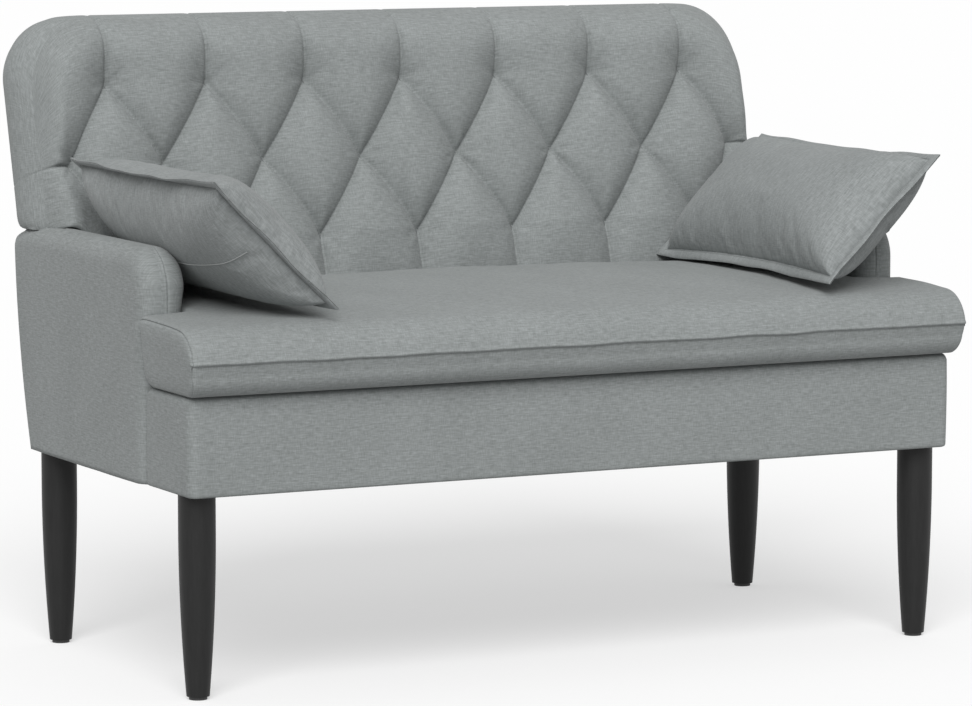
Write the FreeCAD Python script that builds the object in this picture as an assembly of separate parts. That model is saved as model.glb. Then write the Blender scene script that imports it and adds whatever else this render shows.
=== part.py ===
# A straight two-seat settee: a sprung box base on four turned legs, low padded arms,
# a diamond-tufted leaning back, a crowned seat pad and two loose flanged pillows.
# Millimetres. X runs along the seat, Y from front to back, Z up from the floor.
import FreeCAD, Part
import math
import os

from FreeCAD import Placement, Rotation, Vector

# Overall sizes
overall_height = 793.0
overall_depth = 645.0
base_width = 1050.0

# Cloth thickness and the room left between pieces
fabric = 1.5
gap = 0.5
side_gap = 1.5
pilot_gap = 0.1

# Legs and glides
leg_height = 247.0
leg_top_diameter = 45.0
leg_foot_diameter = 28.0
leg_collar = 50.0
leg_swell = 2.0
glide_thickness = 4.0
glide_diameter = 22.0
front_leg_inset = 41.0
rear_leg_inset = 27.0

# Base box
base_height = 120.0
seat_overhang = 33.0
rail_thickness = 22.0
carrier_height = 45.0
bearer_height = 50.0
base_corner_radius = 12.0
base_top_radius = 8.0
base_lip = 30.0
dust_cover_thickness = 1.5
dust_cover_inset = 8.0

# Seat springs and deck
spring_count = 7
spring_room = 7.25
spring_width = 50.0
spring_pitch = 22.0
wire_diameter = 3.8
clip_length = 20.0
clip_depth = 12.0
clip_wall = 1.5
felt_thickness = 3.0

# Arms
arm_thickness = 57.0
arm_proud = 3.0
arm_rise = 164.0
arm_setback = 134.0
rear_step = 7.25
arm_rake = 50.0
arm_bow = 11.0
arm_nose_radius = 52.0
arm_heel_radius = 30.0
arm_edge_radius = 20.0
arm_padding = 6.0
arm_post_width = 45.0
arm_top_rail_height = 45.0

# Seat pad
seat_width = 1064.0
seat_edge_rise = 87.0
seat_crown = 12.0
seat_rear_drop = 3.0
seat_draw = 4.0
seam_rise = 41.5
nose_rise = 42.0
nose_depth = 44.0
nose_tuck = 13.0
nose_bow = 11.0
tuck_bow = 3.4
seat_end_round = 9.0
seat_end_step = 5.0

# Back
back_lean = 15.0
back_width = 1060.0
back_corner_radius = 80.0
back_core = 66.0
back_rear_radius = 12.0
back_frame_thickness = 26.0
back_board_thickness = 5.0
back_turnover = 16.0
back_top_rail_width = 58.0
back_mid_rail_width = 38.0
back_bottom_rail_width = 38.0
upright_columns_in = 0.75
upright_width = 40.0
end_post_columns_in = 0.18
end_post_width = 26.0
upright_lap = 65.0

# Tufting of the back
tuft_rise = 38.0
tuft_seat_rise = 19.0
tuft_columns = 7
column_pitch = 139.0
row_pitch = 102.0
first_row_drop = 91.5
top_roll = 45.0
seam_half = 1.0
cell_sink = 3.0
cell_tip = 2.0
cell_steepness = 0.85
tuft_recess_radius = 7.0
twine_diameter = 2.4
stitch_diameter = 9.0
stitch_thickness = 2.0
washer_diameter = 18.0
washer_thickness = 2.0

# Bolts and nuts
bolt_diameter = 8.0
bolt_head_diameter = 14.0
bolt_head_height = 5.0
insert_diameter = 12.0
insert_length = 13.0
leg_bolt_grip = 35.0
tee_flange_diameter = 20.0
tee_flange_thickness = 1.5
tee_barrel_diameter = 11.0
tee_barrel_length = 12.0
arm_bolt_inset = 70.0
back_bolt_spacing = 26.0

# Loose pillows
pillow_length = 450.0
pillow_height = 225.0
pillow_thickness = 104.0
pillow_flange = 12.0
pillow_draw = 8.0
pillow_end_draw = 5.0
pillow_edge_rise = 3.0
pillow_tilt = 45.0
pillow_arm_room = 5.0

# Levels, from the floor up
base_bottom = leg_height
frame_bottom = base_bottom + dust_cover_thickness
base_top = base_bottom + base_height
clip_height = wire_diameter + 2 * pilot_gap + 2 * clip_wall
felt_bottom = base_top - felt_thickness
rail_top = felt_bottom - clip_height
carrier_top = frame_bottom + carrier_height
arm_top = base_top + arm_rise

# Frame of the leaning back: q runs to the rear from its rear face, s up from its top edge
lean_sin = math.sin(math.radians(back_lean))
lean_cos = math.cos(math.radians(back_lean))
crest = back_core * lean_sin + math.hypot(tuft_rise * lean_sin, top_roll * lean_cos) - top_roll * lean_cos
back_y = overall_depth / 2 + back_rear_radius * (lean_cos + lean_sin - 1)
back_z = overall_height - crest

# Stations from front to back
seat_front = -overall_depth / 2
base_front = seat_front + seat_overhang
front_rail_front = base_front + fabric + gap
front_rail_back = front_rail_front + rail_thickness
arm_front = base_front + arm_setback
arm_rear = back_y - (back_z - rail_top) * lean_sin / lean_cos + rear_step
rear_rail_back = arm_rear - fabric - gap
rear_rail_front = rear_rail_back - rail_thickness
block_back = arm_front - side_gap

# Stations from the middle outwards
base_half = base_width / 2
frame_half = base_half - fabric - gap
arm_outer = base_half + arm_proud
arm_inner = arm_outer - arm_thickness
arm_middle = (arm_outer + arm_inner) / 2
side_rail_outer = arm_inner - gap
side_rail_inner = side_rail_outer - rail_thickness
seat_half = seat_width / 2
inner_half = arm_inner - side_gap
outer_tuft = tuft_columns / 2 * column_pitch
upright_middle = outer_tuft - upright_columns_in * column_pitch
end_post_middle = outer_tuft - end_post_columns_in * column_pitch
arm_wood_inset = fabric + arm_padding + 2 * gap

# Planes and rows of the back
back_half = back_width / 2
back_place = Placement(Vector(0, back_y, back_z), Rotation(Vector(1, 0, 0), -back_lean))
pad_bottom = base_top + 2 * gap
back_frame_rear = -(fabric + gap)
back_frame_front = back_frame_rear - back_frame_thickness
board_front = back_frame_front - back_board_thickness
foam_rear = board_front - gap
row_heights = [-first_row_drop - row * row_pitch for row in range(3)]
back_depth_below = (back_z - base_bottom) / lean_cos

ACROSS = Vector(1, 0, 0)
REARWARD = Vector(0, 1, 0)
UPWARD = Vector(0, 0, 1)


def box(x0, x1, y0, y1, z0, z1):
    return Part.makeBox(x1 - x0, y1 - y0, z1 - z0, Vector(x0, y0, z0))


def rod(start, axis, diameter, length):
    return Part.makeCylinder(diameter / 2, length, start, axis)


def mirrored(shape):
    return shape.mirror(Vector(0, 0, 0), ACROSS)


def filleted(shape, radius, wanted):
    edges = [edge for edge in shape.Edges if wanted(edge.BoundBox)]
    return shape.makeFillet(radius, edges)


def flat(low, high):
    return abs(high - low) < 1e-4


def arc(start, end, bow, side):
    """An arc over the chord from start to end, standing bow proud of it towards side."""
    middle = (start + end) * 0.5 + side * bow
    return Part.Arc(start, middle, end).toShape()


def line(start, end):
    return Part.LineSegment(start, end).toShape()


def back_line(q, z):
    """Y of the plane q of the leaning back at height z."""
    s = (z - back_z + q * lean_sin) / lean_cos
    return back_y + q * lean_cos + s * lean_sin


# Legs, glides and their bolts
leg_places = [
    (side * arm_middle, y)
    for y in (base_front + front_leg_inset, arm_rear - rear_leg_inset)
    for side in (-1, 1)
]


def leg(x, y):
    top_radius = leg_top_diameter / 2
    foot_radius = leg_foot_diameter / 2
    collar_z = frame_bottom - leg_collar
    foot = Vector(foot_radius, 0, glide_thickness)
    collar = Vector(top_radius, 0, collar_z)
    outward = Vector(1, 0, 0)
    outline = Part.Wire([
        line(Vector(0, 0, glide_thickness), foot),
        arc(foot, collar, leg_swell, outward),
        line(collar, Vector(top_radius, 0, frame_bottom)),
        line(Vector(top_radius, 0, frame_bottom), Vector(0, 0, frame_bottom)),
        line(Vector(0, 0, frame_bottom), Vector(0, 0, glide_thickness)),
    ])
    body = Part.Face(outline).revolve(Vector(0, 0, 0), UPWARD, 360)
    bore_length = leg_bolt_grip + gap
    bore = rod(Vector(0, 0, frame_bottom - bore_length), UPWARD, bolt_diameter + 2 * pilot_gap, bore_length)
    shape = body.cut(bore)
    shape.translate(Vector(x, y, 0))
    return shape


def leg_glides():
    return [rod(Vector(x, y, 0), UPWARD, glide_diameter, glide_thickness) for x, y in leg_places]


def leg_bolts():
    length = leg_bolt_grip + carrier_height - tee_flange_thickness
    foot = frame_bottom - leg_bolt_grip
    return [rod(Vector(x, y, foot), UPWARD, bolt_diameter, length) for x, y in leg_places]


def tee_nut(x, y, room):
    flange = rod(
        Vector(x, y, carrier_top - tee_flange_thickness - room), UPWARD,
        tee_flange_diameter + 2 * room, tee_flange_thickness + room)
    barrel = rod(
        Vector(x, y, carrier_top - tee_barrel_length - room), UPWARD,
        tee_barrel_diameter + 2 * room, tee_barrel_length + room)
    return flange.fuse(barrel)


def bolt_hole(start, axis, length):
    return rod(start, axis, bolt_diameter + 2 * pilot_gap, length)


def leg_tee_nuts():
    nuts = []
    for x, y in leg_places:
        hole = bolt_hole(Vector(x, y, frame_bottom), UPWARD, carrier_height + gap)
        nuts.append(tee_nut(x, y, 0).cut(hole))
    return nuts


def leg_socket(shape):
    """Cuts the bolt holes and tee-nut seats of every leg out of a piece."""
    tools = []
    for x, y in leg_places:
        tools.append(tee_nut(x, y, pilot_gap))
        tools.append(bolt_hole(Vector(x, y, frame_bottom - gap), UPWARD, carrier_height))
    return shape.cut(tools)


# Base frame
def front_rail():
    rail = box(-frame_half, frame_half, front_rail_front, front_rail_back, frame_bottom, rail_top)
    radius = base_corner_radius - fabric - gap
    corner = lambda b: flat(b.XMin, b.XMax) and flat(b.YMin, b.YMax) and b.YMax < front_rail_front + gap
    return filleted(rail, radius, corner)


def rear_rail():
    rail = box(-side_rail_outer, side_rail_outer, rear_rail_front, rear_rail_back, frame_bottom, rail_top)
    return rail.cut(back_bolt_room())


def side_rail():
    rail = box(side_rail_inner, side_rail_outer, front_rail_back, rear_rail_front, frame_bottom, rail_top)
    return rail.cut(arm_bolt_room())


def front_return():
    return box(frame_half - rail_thickness, frame_half, front_rail_back, block_back, carrier_top, rail_top)


def corner_block():
    block = box(side_rail_outer, frame_half, front_rail_back, block_back, frame_bottom, carrier_top)
    return leg_socket(block)


def centre_bearer():
    half = rail_thickness / 2
    return box(-half, half, front_rail_back, rear_rail_front, frame_bottom, frame_bottom + bearer_height)


# Springs, clips and deck
spring_front = (front_rail_front + front_rail_back) / 2
spring_rear = (rear_rail_front + rear_rail_back) / 2
spring_level = rail_top + clip_height / 2
spring_reach = upright_middle - (upright_width + spring_width) / 2 - spring_room
spring_spacing = 2 * spring_reach / (spring_count - 1)
spring_places = [(index - (spring_count - 1) / 2) * spring_spacing for index in range(spring_count)]


def zigzag_spring(x):
    """A wire that crosses from side to side and turns back through half circles."""
    turns = max(2, round((spring_rear - spring_front) / spring_pitch))
    step = (spring_rear - spring_front) / turns
    radius = step / 2
    run = spring_width / 2 - radius
    edges = []
    for turn in range(turns + 1):
        side = 1 if turn % 2 == 0 else -1
        y = spring_front + turn * step
        start = Vector(x - side * run, y, spring_level)
        end = Vector(x + side * run, y, spring_level)
        edges.append(line(start, end))
        if turn == turns:
            continue
        crown = end + Vector(side * radius, radius, 0)
        leave = end + Vector(0, step, 0)
        chord = radius * math.sqrt(2)
        bow = radius - chord / 2
        slant = Vector(side, -1, 0).normalize()
        back_slant = Vector(side, 1, 0).normalize()
        edges.append(arc(end, crown, bow, slant))
        edges.append(arc(crown, leave, bow, back_slant))
    path = Part.Wire(edges)
    first = edges[0].Vertexes[0].Point
    section = Part.Wire(Part.makeCircle(wire_diameter / 2, first, ACROSS))
    return path.makePipeShell([section], True, False)


def spring_clip(x, y):
    block = box(
        x - clip_length / 2, x + clip_length / 2,
        y - clip_depth / 2, y + clip_depth / 2, rail_top, rail_top + clip_height)
    start = Vector(x - clip_length, y, spring_level)
    return block.cut(rod(start, ACROSS, wire_diameter + 2 * pilot_gap, 2 * clip_length))


def zigzag_springs():
    return [zigzag_spring(x) for x in spring_places]


def spring_clips():
    return [spring_clip(x, y) for x in spring_places for y in (spring_front, spring_rear)]


def deck_felt():
    rear = back_line(board_front, felt_bottom) - side_gap
    return box(-side_rail_inner, side_rail_inner, base_front + base_lip + gap, rear, felt_bottom, base_top)


# Covers of the base box
def front_block(inset, bottom, top, rear):
    block = box(-base_half + inset, base_half - inset, base_front + inset, rear, bottom, top)
    corner = lambda b: flat(b.XMin, b.XMax) and flat(b.YMin, b.YMax) and b.YMax < base_front + inset + gap
    block = filleted(block, base_corner_radius - inset, corner)
    rim = lambda b: flat(b.ZMin, b.ZMax) and b.ZMin > top - gap and b.YMin < rear - gap
    return filleted(block, base_top_radius - inset, rim)


def base_cover():
    rear = arm_front - gap
    shell = front_block(0, base_bottom, base_top, rear)
    hollow = front_block(fabric, base_bottom - base_height, base_top - fabric, rear + base_height)
    mouth = box(
        -base_half + base_lip, base_half - base_lip, base_front + base_lip, rear + base_height,
        base_top - base_height, base_top + base_height)
    return shell.cut([hollow, mouth])


def dust_cover():
    front = base_half - dust_cover_inset
    front_sheet = box(-front, front, base_front + dust_cover_inset, block_back, base_bottom, frame_bottom)
    rear_sheet = box(-side_rail_outer, side_rail_outer, block_back, rear_rail_back, base_bottom, frame_bottom)
    around = leg_top_diameter + 2 * side_gap
    depth = 2 * dust_cover_thickness
    holes = [rod(Vector(x, y, base_bottom - gap), UPWARD, around, depth) for x, y in leg_places]
    return front_sheet.fuse(rear_sheet).removeSplitter().cut(holes)


def rear_cover():
    """Cloth over the rear between the arms, from the base up to the arm tops."""
    foot_y = rear_rail_back + gap
    head_z = arm_top - side_gap
    head_y = back_line(0, head_z) + side_gap
    points = [
        Vector(-inner_half, foot_y, base_bottom),
        Vector(-inner_half, foot_y, rail_top),
        Vector(-inner_half, head_y, head_z),
        Vector(-inner_half, head_y + fabric, head_z),
        Vector(-inner_half, foot_y + fabric, rail_top),
        Vector(-inner_half, foot_y + fabric, base_bottom),
    ]
    face = Part.Face(Part.makePolygon(points + points[:1]))
    return face.extrude(Vector(2 * inner_half, 0, 0))


# Arms
def arm_form(inset, bottom):
    """The right arm, drawn in on every side but the bottom by inset."""
    front = arm_front + inset
    top = arm_top - inset
    x = arm_inner + inset
    foot = Vector(x, arm_rear - inset, base_bottom)
    heel = Vector(x, arm_rear + arm_rake - inset, top)
    toe = Vector(x, front, base_bottom)
    nose = Vector(x, front, top)
    outline = Part.Wire([
        line(toe, nose),
        line(nose, heel),
        arc(heel, foot, arm_bow, REARWARD),
        line(foot, toe),
    ])
    form = Part.Face(outline).extrude(Vector(arm_thickness - 2 * inset, 0, 0))
    at_top = lambda b: not flat(b.XMin, b.XMax) and b.ZMin > top - gap
    form = filleted(form, arm_nose_radius - inset, lambda b: at_top(b) and b.YMax < front + gap)
    form = filleted(form, arm_heel_radius - inset, lambda b: at_top(b) and b.YMin > heel.y - gap)
    rim = lambda b: flat(b.XMin, b.XMax) and b.ZMax > base_bottom + gap
    form = filleted(form, arm_edge_radius - inset, rim)
    below = box(arm_inner, arm_outer, arm_front, arm_rear + arm_rake, base_bottom - base_height, bottom)
    if bottom > base_bottom:
        return form.cut(below)
    return form


def arm_hollow(inset):
    """The room inside an arm layer, carried on below the arm so that the layer stays open there."""
    form = arm_form(inset, base_bottom)
    foot = [face for face in form.Faces if flat(face.BoundBox.ZMin, face.BoundBox.ZMax)
            and face.BoundBox.ZMax < base_bottom + gap][0]
    return form.fuse(foot.extrude(Vector(0, 0, -base_height)))


def arm_bolt_starts():
    z = frame_bottom + carrier_height / 2
    places = (arm_front + arm_bolt_inset, arm_rear - 2 * arm_bolt_inset)
    return [Vector(side_rail_inner, y, z) for y in places]


def arm_bolt_reach():
    return arm_inner + arm_wood_inset - side_rail_inner


def arm_bolt_room():
    length = arm_bolt_reach() + insert_length + gap
    return [bolt_hole(start, ACROSS, length) for start in arm_bolt_starts()]


def insert_seats(starts, axis, reach, room):
    diameter = insert_diameter + 2 * room
    return [rod(start + axis * reach, axis, diameter, insert_length + room) for start in starts]


def arm_cover():
    shell = arm_form(0, base_bottom).cut(arm_hollow(fabric))
    return shell.cut(arm_bolt_room())


def arm_foam():
    shell = arm_form(fabric + gap, frame_bottom).cut(arm_hollow(fabric + gap + arm_padding))
    return shell.cut(arm_bolt_room())


def arm_frame():
    """Bottom rail, top rail and two posts, cut from the room inside the padding."""
    room = arm_form(arm_wood_inset, frame_bottom)
    far = overall_depth
    rail_bottom = arm_top - arm_wood_inset - arm_top_rail_height
    post_back = arm_front + arm_wood_inset + arm_post_width
    post_front = arm_rear - arm_wood_inset - arm_post_width
    bottom_rail = room.common(box(0, base_width, -far, far, frame_bottom, carrier_top))
    top_rail = room.common(box(0, base_width, -far, far, rail_bottom, overall_height))
    front_post = room.common(box(0, base_width, -far, post_back, carrier_top, rail_bottom))
    rear_post = room.common(box(0, base_width, post_front, far, carrier_top, rail_bottom))
    bottom_rail = leg_socket(bottom_rail)
    bottom_rail = bottom_rail.cut(insert_seats(arm_bolt_starts(), ACROSS, arm_bolt_reach(), pilot_gap))
    return {
        "arm_bottom_rail": bottom_rail,
        "arm_top_rail": top_rail,
        "arm_front_post": front_post,
        "arm_rear_post": rear_post,
    }


# Bolts through the arms and the back
def cap_bolt(start, axis, length):
    shank = rod(start, axis, bolt_diameter, length)
    head = rod(start - axis * bolt_head_height, axis, bolt_head_diameter, bolt_head_height)
    return head.fuse(shank)


def arm_bolts():
    length = arm_bolt_reach() + insert_length - gap
    right = [cap_bolt(start, ACROSS, length) for start in arm_bolt_starts()]
    return right + [mirrored(bolt) for bolt in right]


def back_bolt_starts():
    middle = rail_top - upright_lap / 2
    heights = [middle - back_bolt_spacing / 2, middle + back_bolt_spacing / 2]
    y = rear_rail_back - bolt_head_height - gap
    return [Vector(side * upright_middle, y, z) for side in (-1, 1) for z in heights]


def back_bolt_reach():
    return rail_thickness - bolt_head_height - gap


def back_bolt_room():
    """Shank holes and head recesses in the rear rail."""
    tools = []
    for start in back_bolt_starts():
        tools.append(bolt_hole(start, -REARWARD, rail_thickness))
        tools.append(rod(start, REARWARD, bolt_head_diameter + 2 * pilot_gap, rail_thickness))
    return tools


def back_bolts():
    length = back_bolt_reach() + insert_length - gap
    return [cap_bolt(start, -REARWARD, length) for start in back_bolt_starts()]


def insert_nuts():
    """Threaded sleeves in the arm rails and in the feet of the uprights."""
    nuts = []
    for start in arm_bolt_starts():
        sleeve = insert_seats([start], ACROSS, arm_bolt_reach(), 0)[0]
        right = sleeve.cut(bolt_hole(start, ACROSS, base_width))
        nuts += [right, mirrored(right)]
    for start in back_bolt_starts():
        sleeve = insert_seats([start], -REARWARD, back_bolt_reach(), 0)[0]
        nuts.append(sleeve.cut(bolt_hole(start, -REARWARD, overall_depth)))
    return nuts


# Seat pad
def seat_profile(x, inset, drawn):
    share = (x / seat_half) ** 2
    crown = seat_crown * (1 - share)
    front = seat_front + seat_draw * share + inset + drawn
    bottom = base_top + inset
    top = base_top + seat_edge_rise + crown - inset - drawn
    rear_top = top - seat_rear_drop
    rear_room = side_gap + inset
    depth = -(back_core + tuft_rise)
    start = Vector(x, front + nose_tuck, bottom)
    seam = Vector(x, front, base_top + seam_rise)
    nose = Vector(x, front + nose_depth, base_top + seam_rise + nose_rise - inset - drawn)
    rear = Vector(x, back_line(depth, rear_top) - rear_room, rear_top)
    heel = Vector(x, back_line(depth, bottom) - rear_room, bottom)
    upward_bow = top - (nose.z + rear.z) / 2
    forward = Vector(0, -nose_rise, nose_depth).normalize()
    under = Vector(0, -seam_rise, -nose_tuck).normalize()
    return Part.Wire([
        arc(start, seam, tuck_bow, under),
        arc(seam, nose, nose_bow, forward),
        arc(nose, rear, upward_bow, UPWARD),
        line(rear, heel),
        line(heel, start),
    ])


def seat_form(inset):
    """A crowned pad across the whole width, with notches cut for the arms."""
    end = seat_half - inset
    rounded = end - seat_end_round
    stations = [(end, seat_end_step), (end - seat_end_round / 3, seat_end_step / 3)]
    stations += [(rounded * share, 0) for share in (1.0, 0.8, 0.6, 0.4, 0.2)]
    rows = [(-x, drawn) for x, drawn in stations] + [(0, 0)] + stations[::-1]
    pad = Part.makeLoft([seat_profile(x, inset, drawn) for x, drawn in rows], True, True)
    cut_x = inner_half - inset
    cut_y = arm_front - side_gap - inset
    notch = box(cut_x, base_width, cut_y, overall_depth, 0, overall_height)
    return pad.cut([notch, mirrored(notch)])


def seat_cover():
    rim = base_lip + fabric
    half = inner_half - rim
    rear = (arm_front + arm_rear) / 2
    opening = box(-half, half, base_front + rim, rear, base_top - gap, base_top + 2 * fabric)
    return seat_form(0).cut([seat_form(fabric), opening])


def seat_foam():
    return seat_form(fabric + gap)


# Back: slab, tufted cells and notches over the arms
def back_outline(inset, bottom):
    half = back_half - inset
    radius = back_corner_radius - inset
    top = -inset
    bow = radius - radius / math.sqrt(2)
    left = Vector(-1, 0, 1).normalize()
    right = Vector(1, 0, 1).normalize()
    foot_left = Vector(-half, 0, bottom)
    foot_right = Vector(half, 0, bottom)
    side_left = Vector(-half, 0, top - radius)
    side_right = Vector(half, 0, top - radius)
    top_left = Vector(-half + radius, 0, top)
    top_right = Vector(half - radius, 0, top)
    return Part.Face(Part.Wire([
        line(foot_left, side_left),
        arc(side_left, top_left, bow, left),
        line(top_left, top_right),
        arc(top_right, side_right, bow, right),
        line(side_right, foot_right),
        line(foot_right, foot_left),
    ]))


def back_plate(inset, front, rear):
    """A plate of the back's outline between the planes q = front and q = rear."""
    plate = back_outline(inset, -back_depth_below)
    plate.translate(Vector(0, front, 0))
    return plate.extrude(Vector(0, rear - front, 0))


def back_slab(inset):
    slab = back_plate(inset, -back_core + inset, -inset)
    rear_rim = lambda b: flat(b.YMin, b.YMax) and b.YMin > -inset - gap and b.ZMax > -back_depth_below + gap
    return filleted(slab, back_rear_radius - inset, rear_rim)


def outline_x(s, inset):
    """Half width of the back at height s."""
    half = back_half - inset
    radius = back_corner_radius - inset
    below = -inset - s
    if below >= radius:
        return half
    return half - radius + math.sqrt(radius ** 2 - (radius - below) ** 2)


def cell_rise(half_width, wanted):
    """Rise of a cell's section: full where the cell is wide, falling away towards its tips."""
    share = min(1.0, half_width / (column_pitch / 2))
    return wanted * (1 - (1 - share) ** 1.6)


def roll_share(s):
    """Rise left on the way over the rounded top edge."""
    above = (s + top_roll) / top_roll
    return math.sqrt(max(0.0, 1 - max(0.0, above) ** 2))


def seat_share(s):
    """Rise left on the way down behind the seat pad."""
    start = row_heights[2]
    share = min(1.0, max(0.0, (start - s) / (column_pitch / 2)))
    return 1 - share * (1 - tuft_seat_rise / tuft_rise)


def cell(sections, inset):
    """One stuffed cell, lofted up the back through chords with an arc over each."""
    face = -back_core + inset
    room = seam_half + inset
    rings = []
    for s, left, right, rise in sections:
        middle = (left + right) / 2
        half = max(cell_tip, (right - left) / 2 - room)
        bow = min(rise + cell_sink, cell_steepness * half)
        start = Vector(middle - half, face + cell_sink, s)
        end = Vector(middle + half, face + cell_sink, s)
        rings.append(Part.Wire([arc(start, end, bow, -REARWARD), line(end, start)]))
    return Part.makeLoft(rings, True, True)


tip_shares = [0.16, 0.32, 0.5, 0.72, 1.0]


def diamond(x, inset):
    low, middle, high = row_heights[2] + inset, row_heights[1], row_heights[0] - inset
    half = column_pitch / 2
    rows = [(low, 0.0)]
    rows += [(low + share * (middle - low), share) for share in tip_shares]
    rows += [(high - share * (high - middle), share) for share in tip_shares[-2::-1]]
    rows += [(high, 0.0)]
    return cell([(s, x - w * half, x + w * half, cell_rise(w * half, tuft_rise)) for s, w in rows], inset)


def top_cell(x, inset):
    low, high = row_heights[1] + inset, row_heights[0]
    half = column_pitch / 2
    sections = [(low, x, x, 0.0)]
    for share in tip_shares:
        reach = share * half
        sections.append((low + share * (high - low), x - reach, x + reach, cell_rise(reach, tuft_rise)))
    for share in (1.0, 0.6, 0.3, 0.12, 0.02):
        rise = tuft_rise * roll_share(-share * top_roll)
        sections.append((-inset - share * top_roll, x - half, x + half, rise))
    return cell(sections, inset)


def seat_rows():
    """Heights of the sections below the lowest row of tufts."""
    start = row_heights[2]
    falls = (0.25, 0.5, 0.8)
    return [start - fall * column_pitch for fall in falls] + [-back_depth_below + gap]


def bottom_cell(x, inset):
    high, low = row_heights[1] - inset, row_heights[2]
    half = column_pitch / 2
    sections = [(high, x, x, 0.0)]
    for share in tip_shares:
        reach = share * half
        sections.append((high - share * (high - low), x - reach, x + reach, cell_rise(reach, tuft_rise)))
    for s in seat_rows():
        sections.append((s, x - half, x + half, tuft_rise * seat_share(s)))
    return cell(sections[::-1], inset)


def corner_cells(inset):
    """The cells at the right end, above and below the short side seam."""
    inner_tuft = outer_tuft - column_pitch / 2
    start = seam_half + inset
    upper = []
    lower = []
    for share in (0.0, 0.2, 0.45, 0.7, 1.0):
        left = outer_tuft + share * (inner_tuft - outer_tuft)
        rise = tuft_rise * (0.25 + 0.75 * math.sin(share * math.pi / 2))
        up = row_heights[1] + start + share * (row_heights[0] - row_heights[1] - start)
        down = row_heights[1] - start - share * (row_heights[1] - row_heights[2] - start)
        upper.append((up, left, outline_x(up, 0), rise))
        lower.append((down, left, outline_x(down, 0), rise))
    for share in (1.0, 0.6, 0.3, 0.14):
        s = -inset - share * top_roll
        upper.append((s, inner_tuft, outline_x(s + inset, 0), tuft_rise * roll_share(-share * top_roll)))
    for s in seat_rows():
        lower.append((s, inner_tuft, back_half, tuft_rise * seat_share(s)))
    return [cell(upper, inset), cell(lower[::-1], inset)]


def tuft_places():
    """Column and height of every tuft: seven, eight and seven."""
    places = []
    for row, s in enumerate(row_heights):
        count = tuft_columns + row % 2
        places += [((index - (count - 1) / 2) * column_pitch, s) for index in range(count)]
    return places


def arm_notches(inset):
    """Room for the arms, the seat deck and what is below, in the frame of the settee."""
    wing_bottom = arm_top + side_gap + inset
    notch = box(inner_half - inset, base_width, -overall_depth, overall_depth, -overall_height, wing_bottom)
    below = box(-base_width, base_width, -overall_depth, overall_depth, -overall_height, pad_bottom)
    return [notch, mirrored(notch), below]


def back_form(inset):
    """The whole tufted back, drawn in on every side by inset."""
    cells = [diamond((index - (tuft_columns - 1) / 2) * column_pitch, inset) for index in range(tuft_columns)]
    for index in range(tuft_columns - 1):
        x = (index - (tuft_columns - 2) / 2) * column_pitch
        cells += [top_cell(x, inset), bottom_cell(x, inset)]
    corners = corner_cells(inset)
    cells += corners + [mirrored(corner) for corner in corners]
    form = back_slab(inset).fuse(cells)
    face = -back_core + inset
    recess = 2 * (tuft_recess_radius + inset)
    form = form.cut([rod(Vector(x, face, s), -REARWARD, recess, 2 * tuft_rise) for x, s in tuft_places()])
    form.Placement = back_place
    return form.cut(arm_notches(inset))


def twine_holes():
    tools = []
    for x, s in tuft_places():
        start = Vector(x, back_frame_front + gap, s)
        tools.append(rod(start, -REARWARD, twine_diameter + 2 * pilot_gap, back_core))
    holes = Part.makeCompound(tools)
    holes.Placement = back_place
    return holes


def placed(shape):
    shape.Placement = back_place
    return shape


def back_cover():
    mouth = placed(back_plate(back_turnover, -2 * fabric, gap))
    shell = back_form(0).cut([back_form(fabric), mouth])
    return shell.cut(twine_holes())


def back_foam():
    rear = placed(back_plate(-gap, foam_rear, gap))
    return back_form(fabric + gap).cut(rear).cut(twine_holes())


def back_board():
    board = placed(back_plate(fabric + 2 * gap, board_front, back_frame_front))
    return board.cut(arm_notches(fabric + 2 * gap)).cut(twine_holes())


def back_rear_cover():
    cover = placed(back_plate(back_turnover + gap, -fabric, 0))
    return cover.cut(arm_notches(fabric))


def back_room():
    """The room of the wooden frame behind the board."""
    room = placed(back_plate(back_rear_radius + gap, back_frame_front, back_frame_rear))
    return room.cut(arm_notches(fabric + 2 * gap))


def back_bar(x0, x1, low, high):
    return placed(box(x0, x1, back_frame_front - gap, gap, low, high))


def back_frame():
    room = back_room()
    top_rail_low = -back_rear_radius - back_top_rail_width
    washer_room = washer_diameter / 2 + 2 * side_gap
    mid_high = row_heights[1] - washer_room
    mid_low = mid_high - back_mid_rail_width
    bottom_high = row_heights[2] - washer_room - back_bottom_rail_width
    bottom_low = bottom_high - back_bottom_rail_width
    upright_in = upright_middle - upright_width / 2
    upright_out = upright_middle + upright_width / 2
    post_in = end_post_middle - end_post_width / 2
    post_out = end_post_middle + end_post_width / 2
    upright = placed(box(
        upright_in, upright_out, back_frame_front, back_frame_rear, -overall_height, top_rail_low))
    foot_z = rail_top - upright_lap
    rail = box(-base_width, base_width, rear_rail_front, overall_depth, 0, rail_top)
    ground = box(-base_width, base_width, -overall_depth, overall_depth, -overall_height, foot_z)
    upright = upright.cut([rail, ground])
    upright = upright.cut(insert_seats(back_bolt_starts(), -REARWARD, back_bolt_reach(), pilot_gap))
    return {
        "back_top_rail": room.common(back_bar(-back_half, back_half, top_rail_low, 0)),
        "back_middle_rail": room.common(back_bar(-upright_in, upright_in, mid_low, mid_high)),
        "back_right_wing_rail": room.common(back_bar(upright_out, back_half, mid_low, mid_high)),
        "back_bottom_rail": room.common(back_bar(-upright_in, upright_in, bottom_low, bottom_high)),
        "back_right_upright": upright,
        "back_right_end_post": room.common(back_bar(post_in, post_out, mid_high, top_rail_low)),
    }


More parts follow.
